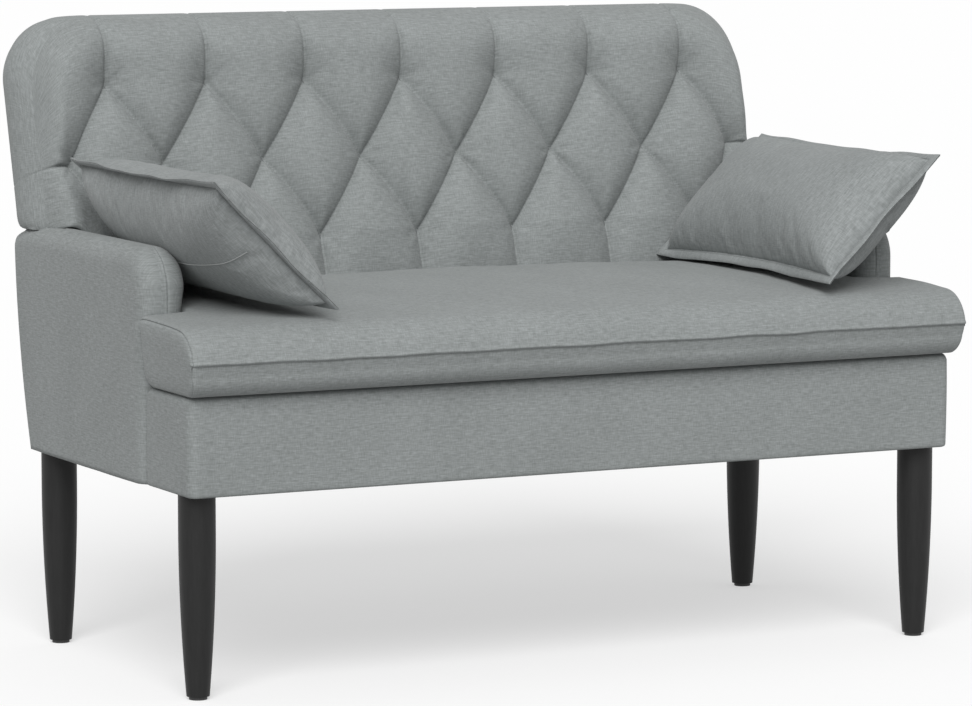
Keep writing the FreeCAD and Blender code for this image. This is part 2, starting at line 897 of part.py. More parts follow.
def tuft_ties():
    """A stitch in the cloth, its twine through the foam and a washer behind the board."""
    ties = []
    for x, s in tuft_places():
        washer = rod(Vector(x, back_frame_front, s), REARWARD, washer_diameter, washer_thickness)
        length = back_core + back_frame_front + stitch_thickness
        twine = rod(Vector(x, back_frame_front, s), -REARWARD, twine_diameter, length)
        stitch = rod(Vector(x, -back_core, s), -REARWARD, stitch_diameter, stitch_thickness)
        ties.append(placed(washer.fuse([twine, stitch])))
    return ties


# Loose pillows, drawn flat with their length along Y and then leaned outwards
pillow_half = pillow_length / 2
pillow_rise = pillow_height / 2
tilt_sin = math.sin(math.radians(pillow_tilt))
tilt_cos = math.cos(math.radians(pillow_tilt))


def pillow_foot_level():
    """Height of the pillow's lower edge, just clear of the crowned seat."""
    crown = seat_crown * (1 - ((arm_inner - pillow_rise) / seat_half) ** 2)
    return base_top + seat_edge_rise + crown + side_gap + fabric


def pillow_foot_across(level):
    """X of the lower edge when the pillow's round underside is just clear of the arm's round edge."""
    half = pillow_rise - pillow_flange - pillow_draw
    bow = pillow_thickness / 2
    radius = (half ** 2 + bow ** 2) / (2 * bow)
    climb = arm_top - arm_edge_radius - level
    beyond = climb * tilt_sin - pillow_rise
    above = radius - bow - climb * tilt_cos
    reach = radius + arm_edge_radius + pillow_arm_room
    middle = tilt_cos * beyond + tilt_sin * above
    away = math.sqrt(middle ** 2 - beyond ** 2 - above ** 2 + reach ** 2) - middle
    return arm_inner + arm_edge_radius - away


def pillow_rear(level):
    """Y of the pillow's rear end, just clear of the stuffed back."""
    s = (level - back_z - back_core * lean_sin) / lean_cos
    return back_line(-back_core - tuft_rise * seat_share(s), level) - gap


pillow_level = pillow_foot_level()
pillow_lean = Rotation(Vector(0, 1, 0), -pillow_tilt)
pillow_foot = Vector(pillow_foot_across(pillow_level), pillow_rear(pillow_level) - pillow_half, pillow_level)
pillow_place = Placement(pillow_foot + pillow_lean.multVec(Vector(pillow_rise, 0, 0)), pillow_lean)


def pillow_half_rows(inset):
    """Place, half width and half thickness of the sections along the pillow."""
    end = pillow_half - pillow_flange - inset
    rows = []
    for share in (-1.0, -0.93, -0.78, -0.45, 0.0, 0.45, 0.78, 0.93, 1.0):
        width = pillow_rise - pillow_flange - pillow_draw * (1 - share ** 2) - inset
        fullness = (1 - abs(share) ** 2.6) ** 0.62
        thickness = pillow_edge_rise + (pillow_thickness / 2 - pillow_edge_rise) * fullness - inset
        rows.append((share * end, width, thickness))
    return rows


def pillow_lens(inset):
    rings = []
    for y, width, thickness in pillow_half_rows(inset):
        left = Vector(-width, y, 0)
        right = Vector(width, y, 0)
        rings.append(Part.Wire([arc(left, right, thickness, UPWARD), arc(right, left, thickness, -UPWARD)]))
    return Part.makeLoft(rings, True, False)


def pillow_border():
    """The flat flange, a sheet whose four sides pull in between the corners."""
    x = pillow_rise
    y = pillow_half
    corners = [Vector(-x, -y, 0), Vector(x, -y, 0), Vector(x, y, 0), Vector(-x, y, 0)]
    draws = [pillow_end_draw, pillow_draw, pillow_end_draw, pillow_draw]
    inwards = [REARWARD, -ACROSS, -REARWARD, ACROSS]
    edges = []
    for index in range(4):
        start = corners[index]
        end = corners[(index + 1) % 4]
        edges.append(arc(start, end, draws[index], inwards[index]))
    return Part.Face(Part.Wire(edges))


def pillow_panel(side):
    """One face of the cover with its half of the flange; side is 1 on top and -1 beneath."""
    half = box(-pillow_height, pillow_height, -pillow_length, pillow_length, 0, pillow_thickness)
    if side < 0:
        half.translate(Vector(0, 0, -pillow_thickness))
    dome = pillow_lens(0).common(half)
    sheet = pillow_border().extrude(Vector(0, 0, side * fabric))
    panel = dome.fuse(sheet).cut(pillow_lens(fabric))
    panel.Placement = pillow_place
    return panel


def pillow_fill():
    fill = pillow_lens(fabric + gap)
    fill.Placement = pillow_place
    return fill


def solids_of(shape):
    """The solids of a shape or of a list of shapes, as one shape."""
    shapes = shape if isinstance(shape, list) else [shape]
    solids = [solid for item in shapes for solid in item.Solids]
    return solids[0] if len(solids) == 1 else Part.makeCompound(solids)


def all_nodes():
    nodes = {
        "front_rail": front_rail(),
        "rear_rail": rear_rail(),
        "centre_bearer": centre_bearer(),
        "zigzag_springs": zigzag_springs(),
        "spring_clips": spring_clips(),
        "deck_felt": deck_felt(),
        "seat_foam": seat_foam(),
        "seat_cover": seat_cover(),
        "base_cover": base_cover(),
        "dust_cover": dust_cover(),
        "rear_cover": rear_cover(),
        "leg_glides": leg_glides(),
        "leg_bolts": leg_bolts(),
        "leg_tee_nuts": leg_tee_nuts(),
        "arm_bolts": arm_bolts(),
        "back_bolts": back_bolts(),
        "insert_nuts": insert_nuts(),
        "back_board": back_board(),
        "back_foam": back_foam(),
        "back_cover": back_cover(),
        "back_rear_cover": back_rear_cover(),
        "tuft_ties": tuft_ties(),
    }
    leg_names = ("front_left_leg", "front_right_leg", "rear_left_leg", "rear_right_leg")
    for name, (x, y) in zip(leg_names, leg_places):
        nodes[name] = leg(x, y)
    nodes.update(back_frame())
    for name in ("upright", "wing_rail", "end_post"):
        nodes["back_left_" + name] = mirrored(nodes["back_right_" + name])
    pairs = {
        "side_rail": side_rail(),
        "front_return": front_return(),
        "corner_block": corner_block(),
        "arm_cover": arm_cover(),
        "arm_foam": arm_foam(),
        "pillow_fill": pillow_fill(),
        "pillow_upper_panel": pillow_panel(1),
        "pillow_lower_panel": pillow_panel(-1),
    }
    pairs.update(arm_frame())
    for name, shape in pairs.items():
        nodes["right_" + name] = shape
        nodes["left_" + name] = mirrored(shape)
    return nodes


os.makedirs("parts", exist_ok=True)
for node_name, node_shape in all_nodes().items():
    solids_of(node_shape).exportStep("parts/" + node_name + ".step")
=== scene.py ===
import math

import bmesh
import bpy
import numpy as np
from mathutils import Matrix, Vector
from mathutils.bvhtree import BVHTree


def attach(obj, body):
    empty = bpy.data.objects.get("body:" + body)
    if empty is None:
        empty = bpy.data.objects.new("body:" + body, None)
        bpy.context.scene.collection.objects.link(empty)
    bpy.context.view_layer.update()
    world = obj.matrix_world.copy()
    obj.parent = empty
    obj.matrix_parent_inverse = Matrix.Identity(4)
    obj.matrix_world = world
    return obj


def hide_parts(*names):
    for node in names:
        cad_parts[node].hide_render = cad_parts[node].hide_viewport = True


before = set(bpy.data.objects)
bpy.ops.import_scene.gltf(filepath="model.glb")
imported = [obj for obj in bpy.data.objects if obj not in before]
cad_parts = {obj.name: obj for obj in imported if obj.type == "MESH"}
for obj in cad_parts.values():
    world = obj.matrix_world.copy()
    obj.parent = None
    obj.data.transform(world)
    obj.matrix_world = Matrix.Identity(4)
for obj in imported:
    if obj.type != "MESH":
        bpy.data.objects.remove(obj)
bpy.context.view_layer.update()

# Sizes in metres, as the frame has them
BASE_BOTTOM = 0.247
BASE_TOP = 0.367
BASE_HALF = 0.525
BASE_FRONT = -0.2895
BASE_CORNER = 0.012
ARM_TOP = 0.531
ARM_FRONT = -0.1555
ARM_REAR = 0.2222
ARM_RAKE = 0.050
ARM_BOW = 0.011
ARM_NOSE = 0.052
ARM_HEEL = 0.030
ARM_MIDDLE = 0.4995
ARM_HALF = 0.0285
ARM_ROUND = 0.024
INNER_HALF = 0.4692
SEAT_HALF = 0.532
SEAT_FRONT = -0.3225
SEAT_EDGE_TOP = 0.454
SEAT_CROWN = 0.012
SEAT_SEAM = 0.4070
SEAT_REAR = 0.1290
SEAT_END_SEAM = 0.5315
SEAT_FOOT = BASE_TOP + 0.001
EAR_REAR = ARM_FRONT - 0.0015
NOSE_RADIUS = 0.0475
NOSE_MIDDLE = (0.0472, -0.0054)
NOSE_DEPTH = 0.044
NOSE_RISE = 0.042
BACK_HALF = 0.530
BACK_CORNER = 0.077
FRONT_CORNER = 0.110
BACK_CORE = 0.066
BACK_RISE = 0.035
BACK_SIDE_DRAW = 0.017
BACK_LEAN = math.radians(15)
BACK_Y = 0.3252
BACK_Z = 0.7748
BACK_FOOT = -0.4387
COLUMN_PITCH = 0.139
LAST_TUFT = 3.5 * COLUMN_PITCH
ROW_HEIGHTS = (-0.0915, -0.1935, -0.2955)
WING_BOTTOM = 0.5295
PAD_BOTTOM = 0.368
LEG_Y = -0.2485
PILLOW_HALF = 0.225
PILLOW_RISE = 0.1125
PILLOW_FLANGE = 0.012
PILLOW_FULL = 0.043
PILLOW_LEAN = math.radians(45)
PILLOW_MIDDLE = np.array([0.4186, -0.0788, 0.5431])
CLOTH = 0.0015
LINING = 0.0008

LEAN_SIN = math.sin(BACK_LEAN)
LEAN_COS = math.cos(BACK_LEAN)
QUARTER = math.pi / 2


# Making meshes
class Cover:
    """Collects the panels of one piece, grids of points with their weave coordinates, and sews them up."""

    def __init__(self):
        self.points = []
        self.weave = []
        self.faces = []
        self.count = 0

    def panel(self, points, weave, keep=None):
        """Adds a grid; keep marks the quads that are wanted."""
        rows, columns = points.shape[:2]
        start = self.count + np.arange((rows - 1) * columns).reshape(rows - 1, columns)[:, :-1]
        quads = np.stack([start, start + 1, start + columns + 1, start + columns], axis=-1)
        quads = quads.reshape(-1, 4) if keep is None else quads[keep]
        self.points.append(points.reshape(-1, 3))
        self.weave.append(weave.reshape(-1, 2))
        self.faces.append(quads)
        self.count += rows * columns

    def sewn(self, name, fill_holes=False):
        """The finished mesh object, welded, with its faces outwards."""
        points = np.concatenate(self.points)
        weave = np.concatenate(self.weave)
        faces = np.concatenate(self.faces)
        mesh = bpy.data.meshes.new(name)
        mesh.from_pydata(points.tolist(), [], faces.tolist())
        layer = mesh.uv_layers.new(name="weave")
        layer.data.foreach_set("uv", weave[faces.ravel()].astype(np.float32).ravel())
        sheet = bmesh.new()
        sheet.from_mesh(mesh)
        bmesh.ops.remove_doubles(sheet, verts=sheet.verts, dist=2e-5)
        loose = [vertex for vertex in sheet.verts if not vertex.link_faces]
        bmesh.ops.delete(sheet, geom=loose, context="VERTS")
        bmesh.ops.dissolve_degenerate(sheet, dist=1e-6, edges=sheet.edges)
        if fill_holes:
            rim = [edge for edge in sheet.edges if edge.is_boundary]
            bmesh.ops.holes_fill(sheet, edges=rim, sides=0)
        bmesh.ops.recalc_face_normals(sheet, faces=sheet.faces)
        sheet.to_mesh(mesh)
        sheet.free()
        mesh.polygons.foreach_set("use_smooth", [True] * len(mesh.polygons))
        return linked(name, mesh)


def linked(name, mesh):
    made = bpy.data.objects.new(name, mesh)
    bpy.context.scene.collection.objects.link(made)
    return made


def mirrored(source, name):
    """A copy on the other side of the middle, with its faces outwards."""
    mesh = source.data.copy()
    mesh.name = name
    points = np.zeros(len(mesh.vertices) * 3)
    mesh.vertices.foreach_get("co", points)
    points[0::3] *= -1
    mesh.vertices.foreach_set("co", points)
    mesh.flip_normals()
    mesh.update()
    return linked(name, mesh)


def evaluated(source, name):
    """A plain mesh copy of an object with its modifiers carried out; the source goes."""
    graph = bpy.context.evaluated_depsgraph_get()
    mesh = bpy.data.meshes.new_from_object(source.evaluated_get(graph))
    mesh.name = name
    bpy.data.objects.remove(source)
    return linked(name, mesh)


def thickened(source, thickness):
    """A sheet given its thickness, inwards from the face that shows."""
    name = source.name
    source.name = name + "_flat"
    solid = source.modifiers.new("cloth", "SOLIDIFY")
    solid.thickness = thickness
    solid.offset = -1
    return evaluated(source, name)


def without_corners(shape, rows, notch):
    """Marks the quads of a grid, leaving out notch columns at both sides of some rows."""
    keep = np.ones((shape[0] - 1, shape[1] - 1), bool)
    keep[rows, :notch] = False
    keep[rows, -notch:] = False
    return keep


def ripple(u, v, size, seed):
    """Gentle unevenness between -1 and 1 with bumps about as wide as size."""
    chance = np.random.default_rng(seed)
    total = np.zeros(np.broadcast(u, v).shape)
    for _ in range(7):
        turn = chance.uniform(0, 2 * math.pi)
        wave = 2 * math.pi / (size * chance.uniform(0.8, 2.2))
        shift = chance.uniform(0, 2 * math.pi)
        total = total + np.sin(wave * (u * math.cos(turn) + v * math.sin(turn)) + shift)
    return total / 4


# Numbers, paths and grids of points
def paired(*parts):
    """Coordinates brought to one shape and put side by side."""
    return np.stack(np.broadcast_arrays(*parts), axis=-1)


def both_sides(half, sign=-1):
    """Numbers from the middle outwards, continued to the other side."""
    return np.concatenate([sign * half[:0:-1], half])


def along(path):
    """Length run at each point of a path."""
    steps = np.linalg.norm(np.diff(path, axis=0), axis=1)
    return np.concatenate([[0], np.cumsum(steps)])


def resampled(path, shares):
    """Points of a path at shares of its length."""
    run = along(path)
    return np.stack([np.interp(shares * run[-1], run, part) for part in path.T], axis=-1)


def arc_points(middle, radius, start, end, count):
    """Points of a round from one angle to another, in degrees."""
    angle = np.radians(np.linspace(start, end, count))
    return paired(middle[0] + radius * np.cos(angle), middle[1] + radius * np.sin(angle))


def inward_of(path):
    """Unit steps to the right of the way along a flat path."""
    ahead = np.gradient(path, axis=0)
    inward = paired(ahead[:, 1], -ahead[:, 0])
    return inward / (np.linalg.norm(inward, axis=1)[:, None] + 1e-9)


def edge_distance(points, path):
    """Least distance of each point of a grid to a path."""
    least = np.full(points.shape[:2], 9.0)
    for start, end in zip(path[:-1], path[1:]):
        line = end - start
        share = np.clip(((points - start) @ line) / (line @ line), 0, 1)
        least = np.minimum(least, np.linalg.norm(points - start - share[..., None] * line, axis=-1))
    return least


def ramp(distance, length):
    """Share of a length that a distance has run through, from nought to one."""
    return np.clip(distance / length, 0, 1)


def hump(distance, width):
    """One at no distance, dying away over about that width."""
    return np.exp(-(distance / width) ** 2)


def bulge(distance, radius):
    """Rise of a quarter round of that radius at a distance from its edge, as a share."""
    share = np.clip(1 - distance / radius, 0, 1)
    return np.sqrt(1 - share ** 2)


def rounded(depth, distance, radius):
    """How far an edge rounded by that depth and radius has fallen at a distance from it."""
    return depth * (1 - bulge(distance, radius))


# Tufted back
ARCH_RISE = 0.0072
ARCH_FALL = 0.0120
ARCH_MIDDLE = -0.029
ARCH_REACH = 0.037
PLEAT_WIDTH = 0.0024
PLEAT_DIP = 0.0030
PLEAT_CREASE = 0.0022
RISING_FOLD = 0.011
FALLING_FOLD = 0.0135
FOLD_REACH = 0.041
FOLD_ROUND = 0.90
CREASE_DEPTH = 0.0021
CREASE_WIDTH = 0.0014
DIMPLE_DEPTH = 0.0015
DIMPLE_WIDTH = 0.005
PUCKER_DEPTH = 0.0007
LOWER_LOSS = 0.42
STAND_OFF = 0.0026
TOP_ROLL = 0.076
TOP_ROLL_START = 0.011
SIDE_ROLL = 0.040
WING_ROW = -0.2900
ARM_LINE = -0.2795
REAR_ROUND = 0.012
REAR_INSET = 0.0155
OUTER_FALL = 0.0035
INNER_FALL = 0.018
SKIRT_PATH = np.array([[0.2208, BASE_BOTTOM + 0.001], [0.2208, 0.355], [0.2226, 0.362], [0.2608, 0.5285]])


def leaned(x, q, s):
    """Points of the leaning back: q to the rear of its rear face, s up from its top edge."""
    y = BACK_Y + q * LEAN_COS + s * LEAN_SIN
    z = BACK_Z - q * LEAN_SIN + s * LEAN_COS
    return paired(x, y, z)


def back_fall(x, corner, inset=0.0):
    """How far upper corners rounded by that radius fall below the top edge at x."""
    radius = corner - inset
    beyond = np.clip(np.abs(x) - (BACK_HALF - corner), 0, radius)
    return radius - np.sqrt(radius ** 2 - beyond ** 2)


def under_corners(x, s, corner):
    """Heights above the middle tuft row, drawn down together under the rounded corners."""
    second = ROW_HEIGHTS[1]
    squeeze = 1 - back_fall(x, corner) / -second
    return np.where(s > second, second + (s - second) * squeeze, s)


def top_arch(q):
    """How far the rounded top stands above the top edge, q to the rear of the rear face."""
    return ARCH_RISE - ARCH_FALL * ((q - ARCH_MIDDLE) / ARCH_REACH) ** 2


def top_pleat(x):
    """One on the pleats that run up from the first tuft row, nought a little beside them."""
    nearest = np.clip(np.round(x / COLUMN_PITCH), -3, 3)
    return hump(x - nearest * COLUMN_PITCH, PLEAT_WIDTH)


def tuft_places():
    places = []
    for row, s in enumerate(ROW_HEIGHTS):
        count = 7 + row % 2
        places += [((index - (count - 1) / 2) * COLUMN_PITCH, s) for index in range(count)]
    return np.array(places)


def back_folds():
    """Folds and seams: start, end, and the depth left at the end and halfway."""
    first, second, third = ROW_HEIGHTS
    lines = []
    for index in range(7):
        x = (index - 3) * COLUMN_PITCH
        left, right = x - COLUMN_PITCH / 2, x + COLUMN_PITCH / 2
        lines.append(((x, first), (left, second), 0.0, RISING_FOLD))
        lines.append(((x, third), (right, second), 0.0, RISING_FOLD))
        lines.append(((x, first), (right, second), 0.0, FALLING_FOLD))
        lines.append(((x, third), (left, second), 0.0, FALLING_FOLD))
        lines.append(((x, first), (x, 0.02), 0.024, 0.010))
        lines.append(((x, third), (x, -0.46), 0.006, 0.004))
    for side in (-1, 1):
        lines.append(((side * LAST_TUFT, second), (side * 0.56, second - 0.007), 0.024, 0.011))
    return lines


def tuft_height(x, s):
    """How far the stuffed cloth stands off the slab, before the edges roll over."""
    weight = np.zeros_like(x)
    depth = np.zeros_like(x)
    nearest = np.ones_like(x)
    for (ax, a_s), (bx, bs), end, middle in back_folds():
        dx, ds = bx - ax, bs - a_s
        share = np.clip(((x - ax) * dx + (s - a_s) * ds) / (dx * dx + ds * ds), 0, 1)
        distance = np.hypot(x - ax - share * dx, s - a_s - share * ds)
        nearest = np.minimum(nearest, distance)
        pull = 1 / (distance + 1e-5) ** 3
        weight += pull
        depth += pull * (end * share + middle * 4 * share * (1 - share))
    reach = weight ** (-1 / 3)
    depth = depth / weight
    rise = BACK_RISE * (1 - LOWER_LOSS * ramp(ROW_HEIGHTS[2] - s, COLUMN_PITCH / 2))
    swell = np.sin(ramp(reach, FOLD_REACH) * QUARTER) ** FOLD_ROUND
    height = depth + np.maximum(rise - depth, 0) * swell - CREASE_DEPTH * hump(nearest, CREASE_WIDTH)
    for index, (tx, ts) in enumerate(tuft_places()):
        radius = np.hypot(x - tx, s - ts)
        angle = np.arctan2(s - ts, x - tx)
        pucker = PUCKER_DEPTH * hump(radius - 0.020, 0.010) * np.sin(7 * angle + index)
        height = height + pucker - DIMPLE_DEPTH * hump(radius, DIMPLE_WIDTH)
    return height + STAND_OFF + 0.0006 * ripple(x, s, 0.045, 3)


def edge_roll(x, s):
    """Share of the rise left on the way over the top and side edges."""
    across = np.clip(np.abs(x) - BACK_HALF + FRONT_CORNER, 0, None)
    above = np.clip(s + FRONT_CORNER, 0, None)
    corner = np.hypot(across, above)
    upright = np.where(corner > 0, above / np.maximum(corner, 1e-9), 0.0) ** 2
    distance = np.where(corner > 0, FRONT_CORNER - corner, FRONT_CORNER)
    start = bulge(TOP_ROLL_START, TOP_ROLL)
    over_top = (bulge(distance + TOP_ROLL_START, TOP_ROLL) - start) / (1 - start)
    over_side = np.sin(ramp(distance, SIDE_ROLL) * QUARTER)
    return over_side + (over_top - over_side) * upright


def sides_drawn_in(x, share=1.0):
    """Draws the sides of the back in, as they are towards its front."""
    near = ramp(np.abs(x) - INNER_HALF, BACK_HALF - INNER_HALF)
    return x - np.sign(x) * BACK_SIDE_DRAW * share * near ** 1.5


def back_columns():
    """Places across the back, closer together round its corners."""
    plain = np.arange(0, 225) * (COLUMN_PITCH / 64)
    start = math.asin((plain[-1] - BACK_HALF + FRONT_CORNER) / FRONT_CORNER)
    turn = np.linspace(start, QUARTER, 26)[1:]
    return both_sides(np.concatenate([plain, BACK_HALF - FRONT_CORNER + FRONT_CORNER * np.sin(turn)]))


def back_rows():
    """Heights of the back's rows, closer together on the side seam and over the top."""
    step = (ROW_HEIGHTS[0] - ROW_HEIGHTS[1]) / 32
    tucked = np.linspace(BACK_FOOT, ROW_HEIGHTS[2], 45)[:-1]
    tufted = ROW_HEIGHTS[2] + np.arange(0, 64) * step
    top = ROW_HEIGHTS[0] * (1 - np.sin(np.linspace(0, QUARTER, 34)))
    rows = np.concatenate([tucked, tufted, top])
    fine = ROW_HEIGHTS[1] + 0.0009 * np.arange(-17, 4)
    return np.concatenate([rows[rows < fine[0] - 0.0005], fine, rows[rows > fine[-1] + 0.0005]])


def side_seam(x, s, q):
    """Depth of the crease that runs from the last tuft of the middle row round the side."""
    behind = np.clip(1 + q / BACK_CORE, 0, 1)
    beyond = np.abs(x) - LAST_TUFT
    fall = 0.004 * ramp(beyond, BACK_HALF - LAST_TUFT) + 0.009 * behind
    depth = (0.0017 - 0.0012 * behind) * ramp(beyond - 0.0025, 0.008)
    return depth * hump(s - ROW_HEIGHTS[1] + fall, 0.0013)


def back_edge_loop(columns, rows, wing, notch):
    """Grid places once round the T-shaped front, anticlockwise from its lower left corner."""
    low = [(0, j) for j in range(notch, columns - notch)]
    up = [(i, columns - 1 - notch) for i in range(1, wing + 1)]
    out = [(wing, j) for j in range(columns - notch, columns)]
    right = [(i, columns - 1) for i in range(wing + 1, rows)]
    top = [(rows - 1, j) for j in range(columns - 2, -1, -1)]
    left = [(i, 0) for i in range(rows - 2, wing - 1, -1)]
    inwards = [(wing, j) for j in range(1, notch + 1)]
    down = [(i, notch) for i in range(wing - 1, 0, -1)]
    return np.array(low + up + out + right + top + left + inwards + down + low[:1])


def back_outward(edge, foot):
    """Unit steps out of the front's outline, none at its foot and straight out at its sides."""
    ahead = np.roll(edge[:-1], -1, axis=0) - np.roll(edge[:-1], 1, axis=0)
    ahead = np.concatenate([ahead, ahead[:1]])
    outward = paired(ahead[:, 1], -ahead[:, 0])
    outward /= np.linalg.norm(outward, axis=1)[:, None] + 1e-9
    outward[foot] = 0
    at_side = np.abs(edge[:, 0]) > BACK_HALF - 1e-6
    outward[at_side] = paired(np.sign(edge[at_side, 0]), 0.0)
    return outward


def back_section():
    """The way round the back's edge from front to rear: places q to the rear and steps outwards."""
    section = [(-BACK_CORE, 0.0), (-0.060, 0.0009), (-0.050, 0.0016), (-0.036, 0.0018), (-0.022, 0.0012)]
    for turn in np.linspace(0, QUARTER, 7):
        section.append((-REAR_ROUND * (1 - math.sin(turn)), -REAR_ROUND * (1 - math.cos(turn))))
    return section + [(0.0, -0.018), (-0.003, -0.020)]


def arm_fall(across):
    """How far the rounded top of an arm has fallen at a place across the settee."""
    beyond = np.abs(across - ARM_MIDDLE) - (ARM_HALF - ARM_ROUND)
    return ARM_ROUND * (1 - np.sqrt(1 - ramp(beyond, ARM_ROUND) ** 2))


def seated(points):
    """Rests the wings on the arms and the pad on the deck, the wings' outer ends rounded under."""
    across = np.abs(points[..., 0])
    fall = np.minimum(arm_fall(across), np.where(across > ARM_MIDDLE, OUTER_FALL, INNER_FALL))
    fall = fall * ramp(across - INNER_HALF + 0.02, 0.02)
    low = np.where(across > INNER_HALF + 0.0004, WING_BOTTOM - fall, PAD_BOTTOM)
    dropped = fall * np.clip(1 - (points[..., 2] - WING_BOTTOM) / 0.030, 0, 1)
    points[..., 2] = np.maximum(points[..., 2] - dropped, low)
    pull = rounded(0.006, points[..., 2] - low, 0.016) * ramp(across - 0.500, 0.028)
    points[..., 0] -= np.sign(points[..., 0]) * pull
    return points


def tufted_back():
    columns = back_columns()
    rows = back_rows()
    lattice_x, lattice_s = np.meshgrid(columns, rows)
    s = under_corners(lattice_x, lattice_s, FRONT_CORNER)
    lifted = under_corners(lattice_x, lattice_s, BACK_CORNER) - s
    near_end = hump(np.abs(lattice_x) - LAST_TUFT, 0.03) * hump(s - ROW_HEIGHTS[1], 0.05)
    x = lattice_x - np.sign(lattice_x) * 0.008 * near_end * ramp(BACK_HALF - np.abs(lattice_x), 0.03)
    wing = int(np.argmin(np.abs(rows - WING_ROW)))
    notch = int(np.argmin(np.abs(columns + INNER_HALF)))
    beside_arm = np.clip(INNER_HALF - np.abs(lattice_x), 0, None) / 0.009
    above_arm = np.clip(lattice_s - ARM_LINE, 0, None) / 0.004
    roll = edge_roll(x, s) * bulge(np.hypot(beside_arm, above_arm), 1.0)
    pleat = top_pleat(x)
    creased = PLEAT_CREASE * pleat * ramp(lattice_s - ROW_HEIGHTS[0], 0.03)
    standing = tuft_height(lattice_x, lattice_s) * roll
    depth = -BACK_CORE - standing + side_seam(x, s, -BACK_CORE) + creased
    topmost = np.clip(1 + lattice_s / 0.06, 0, 1) ** 2
    arched = s + topmost * top_arch(-BACK_CORE) - PLEAT_DIP * topmost ** 2 * pleat
    front = seated(leaned(sides_drawn_in(x), depth, arched))
    cover = Cover()
    cover.panel(front, paired(lattice_x, lattice_s), without_corners(x.shape, slice(wing), notch))

    loop = back_edge_loop(len(columns), len(rows), wing, notch)
    at = tuple(loop.T)
    edge = paired(x, s)[at]
    outward = back_outward(edge, loop[:, 0] <= wing)
    pleated = PLEAT_DIP * topmost[at] ** 2 * pleat[at]
    section = back_section()
    rings = []
    for q, out in section:
        forward = ramp(-q - 0.018, 0.048) ** 1.6
        ring = edge + outward * out
        ring[:, 0] = np.clip(ring[:, 0], -BACK_HALF - out, BACK_HALF + out)
        ring[:, 0] -= np.sign(ring[:, 0]) * side_seam(ring[:, 0], ring[:, 1], q)
        ring[:, 1] += (1 - forward) * lifted[at] + topmost[at] * top_arch(q)
        ring[:, 1] -= ramp(-q - 0.016, 0.034) * pleated
        rings.append(seated(leaned(sides_drawn_in(ring[:, 0], forward), q, ring[:, 1])))
    rings[0] = front[at]
    reach = np.array([q for q, _ in section])
    cover.panel(np.stack(rings), paired(along(edge), reach[:, None]))
    return cover.sewn("tufted_back")


def rear_panel():
    """The plain cloth over the rear of the back, drawn tight with a slight fullness."""
    half = BACK_HALF - REAR_INSET
    outer = np.linspace(INNER_HALF, half, 13)[1:]
    columns = np.concatenate([-outer[::-1], np.linspace(-INNER_HALF, INNER_HALF, 121), outer])
    wing = (WING_BOTTOM + 0.002 - BACK_Z) / LEAN_COS
    foot = (PAD_BOTTOM + 0.002 - BACK_Z) / LEAN_COS
    low = np.linspace(foot, wing, 25)[:-1]
    top = -REAR_INSET - back_fall(columns, BACK_CORNER, REAR_INSET)
    upper = wing + np.linspace(0, 1, 41)[:, None] * (top[None, :] - wing)
    lower = np.broadcast_to(low[:, None], (len(low), len(columns)))
    s = np.concatenate([lower, upper])
    x = np.broadcast_to(columns, s.shape)
    edge = np.minimum(top[None, :] - s, half - np.abs(x))
    pull = 0.0007 * np.sin(x * 2 * math.pi / 0.038) * np.exp(-edge / 0.02) * bulge(edge, 0.012)
    q = 0.0004 + 0.0020 * bulge(edge, 0.05) + pull + 0.0004 * ripple(x, s, 0.12, 8)
    cover = Cover()
    keep = without_corners(s.shape, slice(len(low)), len(outer))
    cover.panel(seated(leaned(x, q, s)), paired(x, s), keep)
    return thickened(cover.sewn("rear_panel"), CLOTH)


def skirt_panel():
    """The cloth between the arms at the rear, from the base up to the back."""
    path = resampled(SKIRT_PATH, np.linspace(0, 1, 61))
    columns = np.linspace(-INNER_HALF, INNER_HALF, 121)
    x = np.broadcast_to(columns, (len(path), len(columns)))
    z = np.broadcast_to(path[:, 1:2], x.shape)
    edge = np.minimum(INNER_HALF - np.abs(x), z - BASE_BOTTOM)
    full = 0.0016 * bulge(edge, 0.03) + 0.0004 * ripple(x, z, 0.10, 12)
    cover = Cover()
    cover.panel(paired(x, path[:, :1] + full, z), paired(x, z))
    return thickened(cover.sewn("skirt_panel"), CLOTH)


# Seat pad
SEAT_BOW = 0.004
NOSE_CROWN = 0.04
NOSE_START = 173.5
NOSE_SWEEP = 79.6
REAR_DROP = 0.016
END_TUCK = 0.007
FOOT_DRAW = 0.024
STRIP_STRAIGHT = 0.0145
STRIP_ROUND = 0.0245
STRIP_UNDER = 0.022
EAR_LIFT = 0.018
EAR_LIFT_ROUND = 0.028


def seat_share(x):
    return (x / SEAT_HALF) ** 2


def seat_front(x):
    return SEAT_FRONT + SEAT_BOW * seat_share(x)


def seat_columns():
    """Places across the pad and how far it is drawn in there, with a roll and a seam at each end."""
    turn = np.linspace(0, QUARTER, 9)
    rolled = SEAT_END_SEAM - 0.006 * (1 - np.sin(turn))
    ear = np.linspace(INNER_HALF, rolled[0], 14)[1:-1]
    inner = np.linspace(0, INNER_HALF, 110)
    half = np.concatenate([inner, ear, rolled, [SEAT_END_SEAM - 0.0003, SEAT_END_SEAM - 0.0011]])
    flat = np.zeros(len(inner) + len(ear))
    drawn = np.concatenate([flat, 0.003 * (1 - np.cos(turn)), [0.0036, 0.0041]])
    return both_sides(half), both_sides(drawn, 1), len(half) - len(inner)


